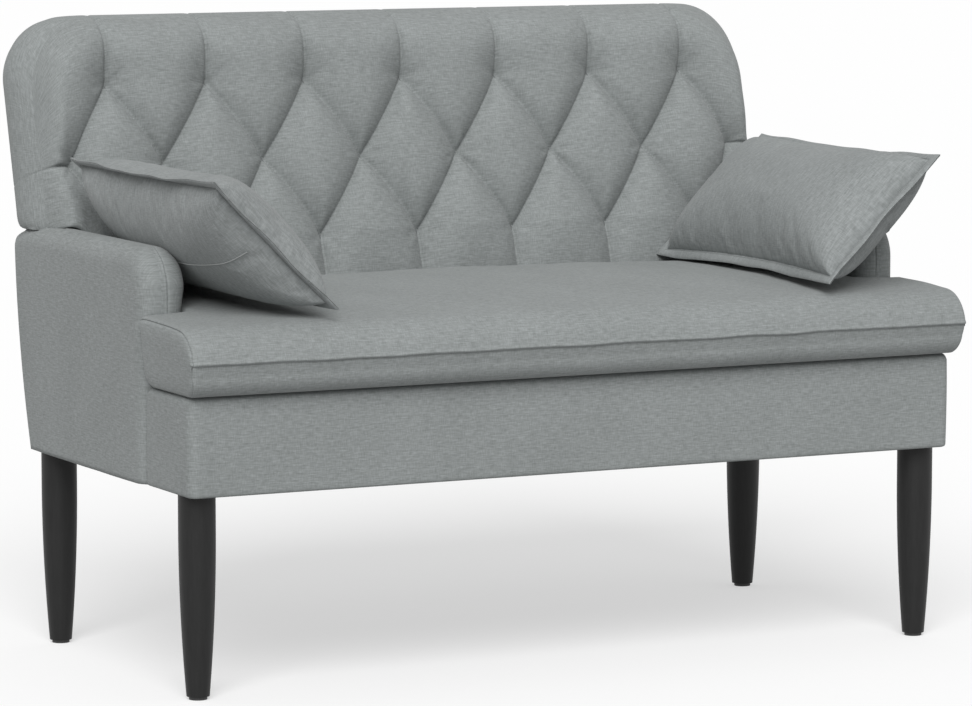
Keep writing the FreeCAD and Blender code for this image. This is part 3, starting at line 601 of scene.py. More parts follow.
def seat_crest(x, y):
    """Height of the top of the pad behind its front roll."""
    crown = 1 - seat_share(x)
    full = SEAT_EDGE_TOP + SEAT_CROWN * crown - SEAT_SEAM
    nose = NOSE_RISE * (1 + NOSE_CROWN * crown)
    start = seat_front(x) + NOSE_DEPTH
    share = ramp(y - start, SEAT_REAR - start)
    rear = full - 0.003
    bow = full - (nose + rear) / 2
    return SEAT_SEAM + nose + share * (rear - nose) + bow * (1 - np.abs(2 * share - 1) ** 2.4)


def seat_roll(x, angle):
    """The front roll of the pad from its seam up, with the lip that hangs over the seam."""
    crown = 1 - seat_share(x)
    depth = NOSE_MIDDLE[0] + NOSE_RADIUS * np.cos(angle)
    rise = NOSE_MIDDLE[1] + NOSE_RADIUS * np.sin(angle)
    rise = rise * (1 + NOSE_CROWN * crown * (depth / NOSE_DEPTH) ** 2)
    run = NOSE_RADIUS * (angle[0] - angle)
    lip = 0.0013 * hump(run - 0.0024, 0.0019) - 0.0022 * hump(run, 0.0007)
    wander = 0.0008 * ripple(x, 0 * x, 0.10, 24) * np.exp(-run / 0.02)
    y = seat_front(x) + depth + lip * np.cos(angle)
    return y, SEAT_SEAM + rise + lip * np.sin(angle) + wander


def seat_top(columns, drawn):
    """Front roll and top of the pad as one grid, and the row at which its ears end."""
    angles = np.radians(NOSE_START - NOSE_SWEEP * np.linspace(0, 1, 34) ** 1.5)[:, None]
    y_roll, z_roll = seat_roll(columns[None, :], angles)
    start = seat_front(columns)[None, :] + NOSE_DEPTH
    ear_shares = 1 - (1 - np.linspace(0, 1, 26)[1:, None]) ** 1.7
    y_ear = start + ear_shares * (EAR_REAR - start)
    rear_shares = np.linspace(0, 1, 61)[1:, None]
    y_rear = EAR_REAR + rear_shares * (SEAT_REAR - EAR_REAR) + 0 * columns[None, :]
    y_top = np.concatenate([y_ear, y_rear])
    x_top = np.broadcast_to(columns, y_top.shape)
    rear_drop = rounded(REAR_DROP, SEAT_REAR - y_top, REAR_DROP)
    beside = np.abs(x_top) > INNER_HALF + 1e-4
    ear_drop = np.where(beside, rounded(0.003, EAR_REAR - y_top, 0.006), 0.0)
    along_arm = rounded(0.006, INNER_HALF - np.abs(x_top), 0.010)
    arm_drop = np.where(beside | (y_top < EAR_REAR), 0.0, along_arm)
    z_top = seat_crest(x_top, y_top) - rear_drop - ear_drop - arm_drop - drawn
    y = np.concatenate([y_roll - drawn * np.cos(angles), y_top])
    z = np.concatenate([z_roll - drawn * np.sin(angles), z_top])
    x = np.broadcast_to(columns, y.shape)
    soft = 0.0011 * ripple(x, y, 0.16, 21) + 0.0004 * ripple(x, y, 0.05, 22)
    z = z + soft * ramp(y - SEAT_FRONT, 0.05)
    return paired(x, y, z), len(angles) + len(ear_shares) - 1


def seat_strip(x):
    """The strip below the front seam, sloping in and rounding under to the base."""
    straight = STRIP_STRAIGHT * np.linspace(0, 1, 9) ** 1.5
    turn = np.linspace(0, QUARTER, 17)[1:]
    below = np.concatenate([straight, STRIP_STRAIGHT + STRIP_ROUND * np.sin(turn)])[:, None]
    under = np.concatenate([0 * straight, STRIP_UNDER * (1 - np.cos(turn))])[:, None]
    slope = 0.0043 * ramp(below, STRIP_STRAIGHT)
    recess = 0.0018 + 0.0012 * np.exp(-below / 0.0025)
    return paired(x, seat_front(x)[None, :] + recess + slope + under, SEAT_SEAM - below)


def seat_end(upper, lower, side):
    """A puffed panel that closes one end of the pad, sewn in along its outline."""
    shares = 0.5 - 0.5 * np.cos(np.linspace(0, math.pi, 27))
    panel = upper[None] + shares[:, None, None] * (lower - upper)[None]
    outline = np.concatenate([upper[::-1], lower[1:], upper[-1:]])[:, 1:]
    edge = edge_distance(panel[..., 1:], outline)
    panel[..., 0] += side * (0.0014 * bulge(edge, 0.004) + 0.0046 * bulge(edge, 0.022))
    return panel, shares


def end_tuck(x):
    """How far the foot of the pad is tucked in towards its two ends."""
    return np.sign(x) * END_TUCK * np.exp((np.abs(x) - SEAT_END_SEAM) / 0.02)


def seat_rear_path(rows, right, last, notch):
    """Grid places along the rear of the pad, round its two notches, from right to left."""
    path = [(last, j) for j in range(right, right - notch - 1, -1)]
    path += [(i, right - notch) for i in range(last + 1, rows)]
    path += [(rows - 1, j) for j in range(right - notch - 1, notch - 1, -1)]
    path += [(i, notch) for i in range(rows - 2, last - 1, -1)]
    path += [(last, j) for j in range(notch - 1, -1, -1)]
    return tuple(np.array(path).T)


def seat_pad():
    columns, drawn, notch = seat_columns()
    right = len(columns) - 1
    middle = len(columns) // 2
    top, last = seat_top(columns, drawn)
    cover = Cover()
    keep = without_corners(top.shape, slice(last, None), notch)
    cover.panel(top, paired(columns, along(top[:, middle, 1:])[:, None]), keep)

    strip = seat_strip(columns)
    strip[..., 1] += drawn
    lowered = ramp(SEAT_SEAM - strip[..., 2], STRIP_STRAIGHT + STRIP_ROUND) ** 2
    strip[..., 0] -= lowered * end_tuck(strip[..., 0])
    strip[0] = top[0]
    cover.panel(strip, paired(columns, -along(strip[:, middle, 1:])[:, None]))

    for column in (0, right):
        upper = top[:last + 1, column]
        heel = [upper[-1, 0] - end_tuck(upper[-1, 0]), EAR_REAR, SEAT_FOOT]
        ground = np.linspace(strip[-1, column], heel, last + 2 - len(strip))
        ground[:, 2] += rounded(EAR_LIFT, EAR_REAR - ground[:, 1], EAR_LIFT_ROUND)
        lower = np.concatenate([strip[:, column], ground[1:]])
        panel, shares = seat_end(upper, lower, math.copysign(1, columns[column]))
        cover.panel(panel, panel[..., 1:])

    crest = top[seat_rear_path(len(top), right, last, notch)]
    foot = crest.copy()
    at_ear = crest[:, 1] < EAR_REAR + 1e-5
    lifted = rounded(EAR_LIFT, columns[-1] - np.abs(crest[:, 0]), EAR_LIFT_ROUND)
    foot[:, 2] = SEAT_FOOT + np.where(at_ear, lifted, 0.0)
    foot[:, 0] -= np.where(at_ear, end_tuck(crest[:, 0]), 0.0)
    foot[:, 1] -= FOOT_DRAW * ramp(crest[:, 1] - EAR_REAR, SEAT_REAR - EAR_REAR)
    wall = crest[None] + shares[:, None, None] * (foot - crest)[None]
    cover.panel(wall, paired(along(crest), wall[..., 2]))
    return cover.sewn("seat_pad", fill_holes=True)


# Arms
ARM_BORDER = 0.026
ARM_LENGTH = 0.38
ARM_HEIGHT = 0.27
ARM_REAR_ROUND = 0.005
SEAM_OUTER = -0.0015
SEAM_INNER = -0.0045


def arm_sides():
    """The arm's outline seen from the side as four paths: front, top, rear and bottom."""
    nose = (ARM_FRONT + ARM_NOSE, ARM_TOP - ARM_NOSE)
    toe = np.array([[ARM_FRONT, BASE_BOTTOM]])
    front = np.concatenate([toe, arc_points(nose, ARM_NOSE, 180, 135, 16)])
    head = np.linspace(ARM_TOP, BASE_BOTTOM, 60)
    share = (ARM_TOP - head) / (ARM_TOP - BASE_BOTTOM)
    lean = ARM_REAR + ARM_RAKE * (1 - share) + ARM_BOW * 4 * share * (1 - share)
    heel = (np.interp(ARM_HEEL, ARM_TOP - head, lean) - ARM_HEEL, ARM_TOP - ARM_HEEL)
    round_heel = arc_points(heel, ARM_HEEL, 90, 0, 24)
    below = head < ARM_TOP - ARM_HEEL
    top = np.concatenate([arc_points(nose, ARM_NOSE, 135, 90, 16), round_heel[:12]])
    rear = np.concatenate([round_heel[11:], paired(lean[below], head[below])])[::-1]
    bottom = np.array([toe[0], rear[0]])
    return front, top, rear, bottom


def arm_patch(u, v):
    """A grid of the arm's side, stretched between its four outline paths."""
    front, top, rear, bottom = arm_sides()
    left = resampled(front, v)[:, None]
    right = resampled(rear, v)[:, None]
    low = resampled(bottom, u)[None, :]
    high = resampled(top, u)[None, :]
    u, v = u[None, :, None], v[:, None, None]
    corners = (1 - u) * (1 - v) * low[:, :1] + u * (1 - v) * low[:, -1:]
    corners = corners + (1 - u) * v * high[:, :1] + u * v * high[:, -1:]
    return (1 - v) * low + v * high + (1 - u) * left + u * right - corners


def arm_layer(across, side):
    """The points of the side moved across to their distances from the arm's middle."""
    return np.concatenate([(ARM_MIDDLE + across)[..., None], side], axis=-1)


def right_arm():
    fine = ARM_BORDER * (1 - np.cos(np.linspace(0, QUARTER, 13)))
    plain = np.linspace(ARM_BORDER / ARM_LENGTH, 1 - ARM_BORDER / ARM_LENGTH, 64)[1:-1]
    u = np.concatenate([fine / ARM_LENGTH, plain, 1 - fine[::-1] / ARM_LENGTH])
    plain = np.linspace(0, 1 - ARM_BORDER / ARM_HEIGHT, 48)[:-1]
    v = np.concatenate([plain, 1 - fine[::-1] / ARM_HEIGHT])
    side = arm_patch(u, v)
    front, top, rear, _ = arm_sides()
    soft_edge = edge_distance(side, np.concatenate([front, top[1:]]))
    rear_edge = edge_distance(side, rear)
    edge = np.minimum(soft_edge, rear_edge)
    soft = 0.0012 * bulge(edge, 0.09) + 0.0005 * ripple(side[..., 0], side[..., 1], 0.09, 31)
    soft = soft * ramp(edge - 0.01, 0.04)
    rounding = np.maximum(rounded(ARM_ROUND, soft_edge, ARM_ROUND),
                          rounded(ARM_REAR_ROUND, rear_edge, ARM_REAR_ROUND))
    outer = ARM_HALF - rounding + soft
    swell = 0.006 * bulge(edge, 0.045) * ramp(side[..., 1] - SEAT_EDGE_TOP, 0.03)
    inner = rounding - ARM_HALF - swell
    cover = Cover()
    for across in (outer, inner):
        cover.panel(arm_layer(across, side), side)

    rows, columns = side.shape[:2]
    loop = [(i, 0) for i in range(rows)] + [(rows - 1, j) for j in range(1, columns)]
    at = tuple(np.array(loop + [(i, columns - 1) for i in range(rows - 2, -1, -1)]).T)
    edge_path = side[at]
    share = np.linspace(0, 1, 6)[:, None]
    start, end = outer[at], inner[at]
    seam = np.array([[-0.0030], [-0.0038]]) + 0 * start
    outer_band = start + share * (SEAM_OUTER - start)
    inner_band = SEAM_INNER + share * (end - SEAM_INNER)
    bands = np.concatenate([outer_band, seam, inner_band])
    sinks = np.array([0.0] * 5 + [-0.0006, -0.0004, 0.0012] + [0.0] * 6)
    band = edge_path[None] + inward_of(edge_path)[None] * sinks[:, None, None]
    cover.panel(arm_layer(bands, band), paired(bands, along(edge_path)))
    return cover.sewn("right_arm", fill_holes=True)


# Base
HEEL_ROUND = 0.004
TOP_ROUND = 0.008
HEM = 0.008
LINING_HALF = 0.4705
LINING_NOTCH = -0.1570
LINING_REAR = 0.2180
LEG_HOLE = 0.0245
LEG_REACH = 0.034


def base_path():
    """The base's front outline from above, from the right arm round to the left."""
    rear = ARM_FRONT - 0.0006
    corner = (BASE_HALF - BASE_CORNER, BASE_FRONT + BASE_CORNER)
    heel = (BASE_HALF - HEEL_ROUND, rear - HEEL_ROUND)
    returned = paired(np.linspace(0.498, heel[0], 6), rear)[:-1]
    heel_turn = arc_points(heel, HEEL_ROUND, 90, 0, 6)[:-1]
    depth = heel[1] + (corner[1] - heel[1]) * np.linspace(0, 1, 34) ** 2
    straight = paired(BASE_HALF, depth)[:-1]
    turn = arc_points(corner, BASE_CORNER, 0, -90, 10)
    face = paired(np.linspace(corner[0], 0, 90), BASE_FRONT)[1:]
    right = np.concatenate([returned, heel_turn, straight, turn, face])
    return np.concatenate([right, right[-2::-1] * np.array([-1, 1])])


def base_section():
    """Insets and heights round the base cloth, turned in at bottom and top and back inside."""
    section = [(0.0070, BASE_BOTTOM), (0.0030, BASE_BOTTOM), (0.0009, BASE_BOTTOM + 0.0009)]
    section += [(0.0, z) for z in np.linspace(BASE_BOTTOM + 0.003, BASE_TOP - TOP_ROUND, 26)]
    for angle in np.linspace(0, QUARTER, 7)[1:]:
        section.append((TOP_ROUND * (1 - math.cos(angle)), BASE_TOP - TOP_ROUND * (1 - math.sin(angle))))
    section += [(0.018, BASE_TOP), (0.028, BASE_TOP)]
    section += [(0.028, BASE_TOP - CLOTH), (0.009, BASE_TOP - CLOTH)]
    section += [(CLOTH, BASE_TOP - 0.009), (CLOTH, BASE_BOTTOM + 0.0022), (0.0070, BASE_BOTTOM + 0.0014)]
    return section + section[:1]


def base_skin():
    """The cloth round the front of the base, turned in at top and bottom."""
    path = base_path()
    section = base_section()
    inward = inward_of(path)
    run = along(path)
    from_arm = np.clip(np.minimum(run, run[-1] - run) - 0.027, 0, None)
    rounded_off = rounded(0.008, from_arm, 0.012)
    rows = []
    for inset, z in section:
        full = 0.0010 * math.sin(math.pi * (z - BASE_BOTTOM) / (BASE_TOP - BASE_BOTTOM))
        soft = full + 0.0004 * ripple(run, np.full_like(run, z), 0.11, 41)
        drawn = inset - soft * (inset < 1e-6)
        row = path + inward * np.reshape(drawn, (-1, 1))
        level = z - rounded_off * np.clip((z - BASE_TOP) / 0.03 + 1, 0, 1)
        rows.append(np.concatenate([row, level[:, None]], axis=1))
    cover = Cover()
    cover.panel(np.stack(rows), paired(run, along(np.array(section))[:, None]))
    return cover.sewn("base_skin", fill_holes=True)


def lining_sheet():
    """The thin lining under the base, sagging a little between its edges."""
    legs = [(side * ARM_MIDDLE, LEG_Y) for side in (-1, 1)]
    outer = ARM_MIDDLE + np.array([0, 0.0102, BASE_HALF - HEM - ARM_MIDDLE])
    half = np.concatenate([np.linspace(LINING_HALF, 0.4890, 3), outer])
    columns = np.concatenate([-half[::-1], np.linspace(-0.460, 0.460, 91), half])
    ahead = np.linspace(BASE_FRONT + HEM, LEG_Y, 4)
    beside = np.linspace(LEG_Y, LINING_NOTCH, 10)[1:]
    rows = np.concatenate([ahead, beside, np.linspace(LINING_NOTCH, LINING_REAR, 38)[1:]])
    x, y = np.meshgrid(columns, rows)
    middle = np.clip(1 - (x / 0.47) ** 2, 0, 1) * np.clip(1 - ((y + 0.035) / 0.24) ** 2, 0, 1)
    z = BASE_BOTTOM + 0.0008 - 0.0006 * middle + 0.0002 * ripple(x, y, 0.06, 51) * middle
    keep = np.ones((len(rows) - 1, len(columns) - 1), bool)
    for lx, ly in legs:
        away = np.hypot(x - lx, y - ly)
        close = (away < LEG_REACH) & (away > 1e-6)
        grown = LEG_HOLE + away * ((LEG_REACH - LEG_HOLE) / LEG_REACH)
        scale = np.where(close, grown / np.maximum(away, 1e-6), 1.0)
        x = lx + (x - lx) * scale
        y = ly + (y - ly) * scale
        column = int(np.argmin(np.abs(columns - lx)))
        row = int(np.argmin(np.abs(rows - ly)))
        keep[row - 1:row + 1, column - 1:column + 1] = False
        level = np.abs(rows[:-1] + rows[1:] - 2 * ly) < 2 * LEG_REACH
        beyond = np.abs(columns[:-1] + columns[1:]) > 2 * ARM_MIDDLE
        keep[np.ix_(level, beyond)] = False
    behind = rows[:-1] >= LINING_NOTCH - 1e-4
    outside = np.minimum(np.abs(columns[:-1]), np.abs(columns[1:])) > LINING_HALF - 1e-4
    keep[np.ix_(behind, outside)] = False
    cover = Cover()
    cover.panel(paired(x, y, z), paired(x, y), keep)
    return thickened(cover.sewn("lining_sheet"), LINING)


# Loose pillows
SETTLE_FRAMES = 14
SETTLE_CAP = 0.014
UPPER_DRAW = 0.001
LOWER_DRAW = 0.008
END_DRAW = 0.005
FLANGE_WAVE = 0.0021
UPPER_FALL = 0.0065
LOWER_FALL = 0.0022


def pillow_world(local):
    """From the flat pillow, length along Y, to its place leaning on the right arm."""
    a, b, c = local[..., 0], local[..., 1], local[..., 2]
    x = a * math.cos(PILLOW_LEAN) - c * math.sin(PILLOW_LEAN)
    z = a * math.sin(PILLOW_LEAN) + c * math.cos(PILLOW_LEAN)
    return paired(x, b, z) + PILLOW_MIDDLE


def pillow_plan(a, b, flange):
    """The outline's point for shares a and b, with sides that pull in between the corners."""
    drawn = np.where(a > 0, UPPER_DRAW, LOWER_DRAW) * (1 - b ** 2)
    x = (PILLOW_RISE - flange - drawn) * a
    y = (PILLOW_HALF - flange - END_DRAW * (1 - a ** 2)) * b
    return x, y


def crowded(count, share):
    """Numbers from -1 to 1 that lie closer together towards both ends."""
    return np.sin(np.linspace(-1, 1, count) * QUARTER * share) / math.sin(QUARTER * share)


def pillow_shares():
    return crowded(45, 0.92), crowded(87, 0.90)


def settled(bag):
    """Lets the filled bag swell against its own seam and keeps what it becomes."""
    start = np.array([vertex.co for vertex in bag.data.vertices])
    seam = [vertex.index for vertex in bag.data.vertices if abs(vertex.co.z) < 2e-4]
    group = bag.vertex_groups.new(name="seam")
    group.add(seam, 1.0, "REPLACE")
    cloth = bag.modifiers.new("cloth", "CLOTH")
    settings = cloth.settings
    settings.quality = 7
    settings.mass = 0.002
    settings.tension_stiffness = 60
    settings.compression_stiffness = 60
    settings.shear_stiffness = 20
    settings.bending_stiffness = 1.0
    settings.shrink_min = -0.012
    settings.use_pressure = True
    settings.uniform_pressure_force = 60
    settings.vertex_group_mass = "seam"
    settings.effector_weights.gravity = 0
    cloth.collision_settings.use_collision = False
    cloth.point_cache.frame_start = 1
    cloth.point_cache.frame_end = SETTLE_FRAMES
    for number in range(1, SETTLE_FRAMES + 1):
        bpy.context.scene.frame_set(number)
    name = bag.name
    bag.name = name + "_start"
    bag = evaluated(bag, name)
    bpy.context.scene.frame_set(1)
    moved = np.array([vertex.co for vertex in bag.data.vertices]) - start
    length = np.linalg.norm(moved, axis=1)
    allowed = np.minimum(length, SETTLE_CAP) / np.maximum(length, 1e-9)
    bag.data.vertices.foreach_set("co", (start + moved * allowed[:, None]).ravel())
    bag.data.update()
    return bag


def pillow_bag():
    """The stuffed body inside the seam."""
    a, b = np.meshgrid(*pillow_shares())
    x, y = pillow_plan(a, b, PILLOW_FLANGE)
    full = (1 - np.abs(b) ** 6) ** 0.5 * (1 - np.abs(a) ** 4) ** 0.5
    cover = Cover()
    for face in (1, -1):
        cover.panel(paired(x, y, face * (PILLOW_FULL * full)), paired(x + 0.3 * face, y))
    bag = cover.sewn("pillow_bag")
    bag = settled(bag)
    softness = bag.modifiers.new("softness", "SUBSURF")
    softness.levels = 1
    softness.render_levels = 1
    bag.name = "pillow_bag_coarse"
    return evaluated(bag, "pillow_bag")


def pillow_ring():
    """The seam as a closed path of shares, once round from a corner."""
    halfway = [(part[:-1] + part[1:]) / 2 for part in pillow_shares()]
    fine_a, fine_b = (np.sort(np.concatenate(parts)) for parts in zip(pillow_shares(), halfway))
    low = [(share, -1.0) for share in fine_a[:-1]]
    right = [(1.0, share) for share in fine_b[:-1]]
    high = [(share, 1.0) for share in fine_a[:0:-1]]
    left = [(-1.0, share) for share in fine_b[::-1]]
    return np.array(low + right + high + left)


def ring_plan(ring, inset):
    """The flat path at an inset from the pillow's edge."""
    return paired(*pillow_plan(ring[:, 0], ring[:, 1], inset))


def flange_wave(run, out):
    """How far the flange waves off its plane, more towards its edge."""
    turn = 2 * math.pi * run / run[-1]
    wave = 0.6 * np.sin(5 * turn + 0.7) + 0.5 * np.sin(9 * turn + 2.1) + 0.35 * np.sin(14 * turn)
    return FLANGE_WAVE * wave[None, :] * out[:, None]


def flange_fall(ring, out):
    """How far the flange flops over, most along the upper edge between the corners."""
    a, b = ring.T
    fall = (UPPER_FALL * (a > 0.999) + LOWER_FALL * (a < -0.999)) * (1 - b ** 4)
    return fall[None, :] * out[:, None] ** 1.2


def pillow_flange():
    """The flat double edge of the pillow, sewn through and slightly wavy."""
    ring = pillow_ring()
    insets = np.array([0.024, 0.0135, 0.0125, 0.0115, 0.0100, 0.0070, 0.0035, 0.0010, 0.0])
    half = np.array([0.0008, 0.0012, 0.0009, 0.0012, 0.0018, 0.0021, 0.0020, 0.0015, 0.0002])
    plan = np.stack([ring_plan(ring, inset) for inset in insets])
    out = np.clip(1 - insets / PILLOW_FLANGE, 0, 1)
    fall = flange_fall(ring, out)
    wave = flange_wave(along(plan[-1]), out) - fall
    plan[..., 0] -= 0.1 * fall * np.sign(ring[:, 0])
    cover = Cover()
    for face in (1, -1):
        height = wave + face * half[:, None]
        cover.panel(np.concatenate([plan, height[..., None]], axis=-1), plan)
    return cover.sewn("pillow_flange")


def pillow(bag, flange, name, side):
    """Bag and flange as one piece in its place; side is 1 on the right and -1 on the left."""
    joined = bmesh.new()
    joined.from_mesh(bag.data)
    joined.from_mesh(flange.data)
    mesh = bpy.data.meshes.new(name)
    joined.to_mesh(mesh)
    joined.free()
    points = np.zeros(len(mesh.vertices) * 3)
    mesh.vertices.foreach_get("co", points)
    placed = pillow_world(points.reshape(-1, 3))
    placed[:, 0] *= side
    mesh.vertices.foreach_set("co", placed.ravel())
    if side < 0:
        mesh.flip_normals()
    mesh.polygons.foreach_set("use_smooth", [True] * len(mesh.polygons))
    mesh.update()
    return linked(name, mesh)


# Stitches, each with pitch, length and thickness
FLANGE_STITCH = (0.0036, 0.0026, 0.0005)
CLOSING_STITCH = (0.0030, 0.0031, 0.0011)
STAPLE = (0.045, 0.010, 0.0009)
STITCH_INSET = 0.0108
STITCH_LIFT = 0.0017


def stitch_tree():
    """Nodes that lay one short thread after another along a line."""
    tree = bpy.data.node_groups.new("stitch_row", "GeometryNodeTree")
    measures = {"Pitch": "Float", "Length": "Float", "Thickness": "Float"}
    entries = {"Line": "Geometry", **measures, "Thread": "Material"}
    for name, kind in entries.items():
        tree.interface.new_socket(name, in_out="INPUT", socket_type="NodeSocket" + kind)
    tree.interface.new_socket("Stitches", in_out="OUTPUT", socket_type="NodeSocketGeometry")
    kinds = {
        "start": "NodeGroupInput",
        "end": "NodeGroupOutput",
        "curve": "GeometryNodeMeshToCurve",
        "spaced": "GeometryNodeResampleCurve",
        "thread": "GeometryNodeMeshCylinder",
        "halved": "ShaderNodeMath",
        "tangent": "GeometryNodeInputTangent",
        "turned": "FunctionNodeAlignRotationToVector",
        "laid": "GeometryNodeInstanceOnPoints",
        "real": "GeometryNodeRealizeInstances",
        "painted": "GeometryNodeSetMaterial",
    }
    nodes = {name: tree.nodes.new(kind) for name, kind in kinds.items()}
    nodes["spaced"].mode = "LENGTH"
    nodes["thread"].inputs["Vertices"].default_value = 6
    nodes["halved"].operation = "MULTIPLY"
    nodes["halved"].inputs[1].default_value = 0.5
    nodes["turned"].axis = "Z"
    joins = (
        ("start", "Line", "curve", "Mesh"),
        ("curve", "Curve", "spaced", "Curve"),
        ("start", "Pitch", "spaced", "Length"),
        ("start", "Thickness", "halved", 0),
        ("halved", "Value", "thread", "Radius"),
        ("start", "Length", "thread", "Depth"),
        ("tangent", "Tangent", "turned", "Vector"),
        ("spaced", "Curve", "laid", "Points"),
        ("thread", "Mesh", "laid", "Instance"),
        ("turned", "Rotation", "laid", "Rotation"),
        ("laid", "Instances", "real", "Geometry"),
        ("real", "Geometry", "painted", "Geometry"),
        ("start", "Thread", "painted", "Material"),
        ("painted", "Geometry", "end", "Stitches"),
    )
    for source, leaving, target, entering in joins:
        tree.links.new(nodes[source].outputs[leaving], nodes[target].inputs[entering])
    return tree


def stitches(name, lines, sizes, thread):
    """Rows of stitches along one or more lines of points."""
    pitch, length, thickness = sizes
    points = np.concatenate(lines)
    edges = []
    first = 0
    for line in lines:
        edges += [(first + k, first + k + 1) for k in range(len(line) - 1)]
        first += len(line)
    mesh = bpy.data.meshes.new(name + "_line")
    mesh.from_pydata(points.tolist(), edges, [])
    row = linked(name + "_line", mesh)
    laid = row.modifiers.new("stitches", "NODES")
    tree = bpy.data.node_groups.get("stitch_row") or stitch_tree()
    laid.node_group = tree
    wanted = {"Pitch": pitch, "Length": length, "Thickness": thickness, "Thread": thread}
    for socket in tree.interface.items_tree:
        if socket.in_out == "INPUT" and socket.name in wanted:
            laid[socket.identifier] = wanted[socket.name]
    return evaluated(row, name)


def flange_stitch_lines():
    """The line of stitches round the flange, on both faces of the flat pillow."""
    ring = pillow_ring()
    plan = ring_plan(ring, STITCH_INSET)
    out = np.array([0.1])
    wave = flange_wave(along(plan), out)[0] - flange_fall(ring, out)[0]
    return [np.concatenate([plan, (wave + face * STITCH_LIFT)[:, None]], axis=1) for face in (1, -1)]


def closing_line(bag):
    """The line of the closing seam on the outer face of the stuffed pillow."""
    skin = BVHTree.FromPolygons([vertex.co for vertex in bag.data.vertices],
                                [face.vertices for face in bag.data.polygons])
    line = []
    for b in np.linspace(-0.93, 0.93, 160):
        x, y = pillow_plan(0.12, b, PILLOW_FLANGE)
        hit = skin.ray_cast(Vector((x, y, -0.2)), Vector((0, 0, 1)))[0]
        line.append((hit.x, hit.y, hit.z - 0.0002))
    return np.array(line)


def staple_lines():
    """Where the lining is stapled up to the rails."""
    level = BASE_BOTTOM - 0.0004
    corners = [((-0.44, y), (0.44, y)) for y in (-0.272, 0.208)]
    corners += [((x, -0.20), (x, 0.19)) for x in (-0.459, 0.459)]
    return [np.array([[*start, level], [*end, level]]) for start, end in corners]


# Finishes
def finish_nodes(name):
    made = bpy.data.materials.new(name)
    made.use_nodes = True
    return made, made.node_tree, made.node_tree.nodes["Principled BSDF"]


def preset(node, values):
    """Sets a node's inputs by their names."""
    for name, value in values.items():
        node.inputs[name].default_value = value


def fed(tree, node, *values):
    """Sets or links a node's inputs in turn and gives what it puts out."""
    for socket, value in zip(node.inputs, values):
        if isinstance(value, (int, float)):
            socket.default_value = value
        else:
            tree.links.new(value, socket)
    return node.outputs[0]


def combined(tree, first, second, operation):
    node = tree.nodes.new("ShaderNodeMath")
    node.operation = operation
    return fed(tree, node, first, second)


def mixed(tree, share, first, second):
    return fed(tree, tree.nodes.new("ShaderNodeMixShader"), share, first, second)


def scaled_noise(tree, source, scale, size, detail):
    """A noise pattern stretched by scale along the ways of its coordinates."""
    mapping = tree.nodes.new("ShaderNodeMapping")
    preset(mapping, {"Scale": scale})
    tree.links.new(source, mapping.inputs["Vector"])
    noise = tree.nodes.new("ShaderNodeTexNoise")
    preset(noise, {"Scale": size, "Detail": detail, "Roughness": 0.55})
    tree.links.new(mapping.outputs["Vector"], noise.inputs["Vector"])
    return noise.outputs["Fac"]


def ribbed(tree, source, direction, scale):
    """Fine ribs across one way of the weave."""
    wave = tree.nodes.new("ShaderNodeTexWave")
    wave.bands_direction = direction
    preset(wave, {"Scale": scale, "Distortion": 1.5})
    tree.links.new(source, wave.inputs["Vector"])
    return wave.outputs["Fac"]


def coloured(tree, shader, factor, stops):
    """Colours the finish by a pattern, from the first stop's colour to the last's."""
    ramped = tree.nodes.new("ShaderNodeValToRGB")
    elements = ramped.color_ramp.elements
    for element, (position, colour) in zip(elements, (stops[0], stops[-1])):
        element.position = position
        element.color = (*colour, 1)
    for position, colour in stops[1:-1]:
        elements.new(position).color = (*colour, 1)
    tree.links.new(factor, ramped.inputs["Fac"])
    tree.links.new(ramped.outputs["Color"], shader.inputs["Base Color"])


def bumped(tree, shader, height, strength, distance):
    """Roughens the finish by a pattern."""
    bump = tree.nodes.new("ShaderNodeBump")
    preset(bump, {"Strength": strength, "Distance": distance})
    tree.links.new(height, bump.inputs["Height"])
    tree.links.new(bump.outputs["Normal"], shader.inputs["Normal"])


def linen(name, dark, middle, light):
    """A plain weave of uneven threads in near greys."""
    made, tree, shader = finish_nodes(name)
    weave = tree.nodes.new("ShaderNodeUVMap")
    weave.uv_map = "weave"
    way = weave.outputs["UV"]
    warp = scaled_noise(tree, way, (820.0, 120.0, 1.0), 1.0, 2.0)
    weft = scaled_noise(tree, way, (110.0, 760.0, 1.0), 1.0, 2.0)
    slub = scaled_noise(tree, way, (70.0, 420.0, 1.0), 1.0, 2.0)
    cloud = scaled_noise(tree, way, (9.0, 9.0, 1.0), 1.0, 2.0)
    cloud_share = 0.35
    threads = combined(tree, warp, weft, "ADD")
    threads = combined(tree, threads, slub, "ADD")
    threads = combined(tree, threads, combined(tree, cloud, cloud_share, "MULTIPLY"), "ADD")
    threads = combined(tree, threads, 1 / (3 + cloud_share), "MULTIPLY")
    coloured(tree, shader, threads, [(0.36, dark), (0.5, middle), (0.64, light)])
    over = ribbed(tree, way, "X", 190.0)
    under = ribbed(tree, way, "Y", 180.0)
    crossing = combined(tree, over, under, "MULTIPLY")
    bumped(tree, shader, combined(tree, crossing, threads, "ADD"), 0.22, 0.0008)
    preset(shader, {"Roughness": 0.92, "Specular IOR Level": 0.15})
    preset(shader, {"Sheen Weight": 0.12, "Sheen Roughness": 0.5})
    return made


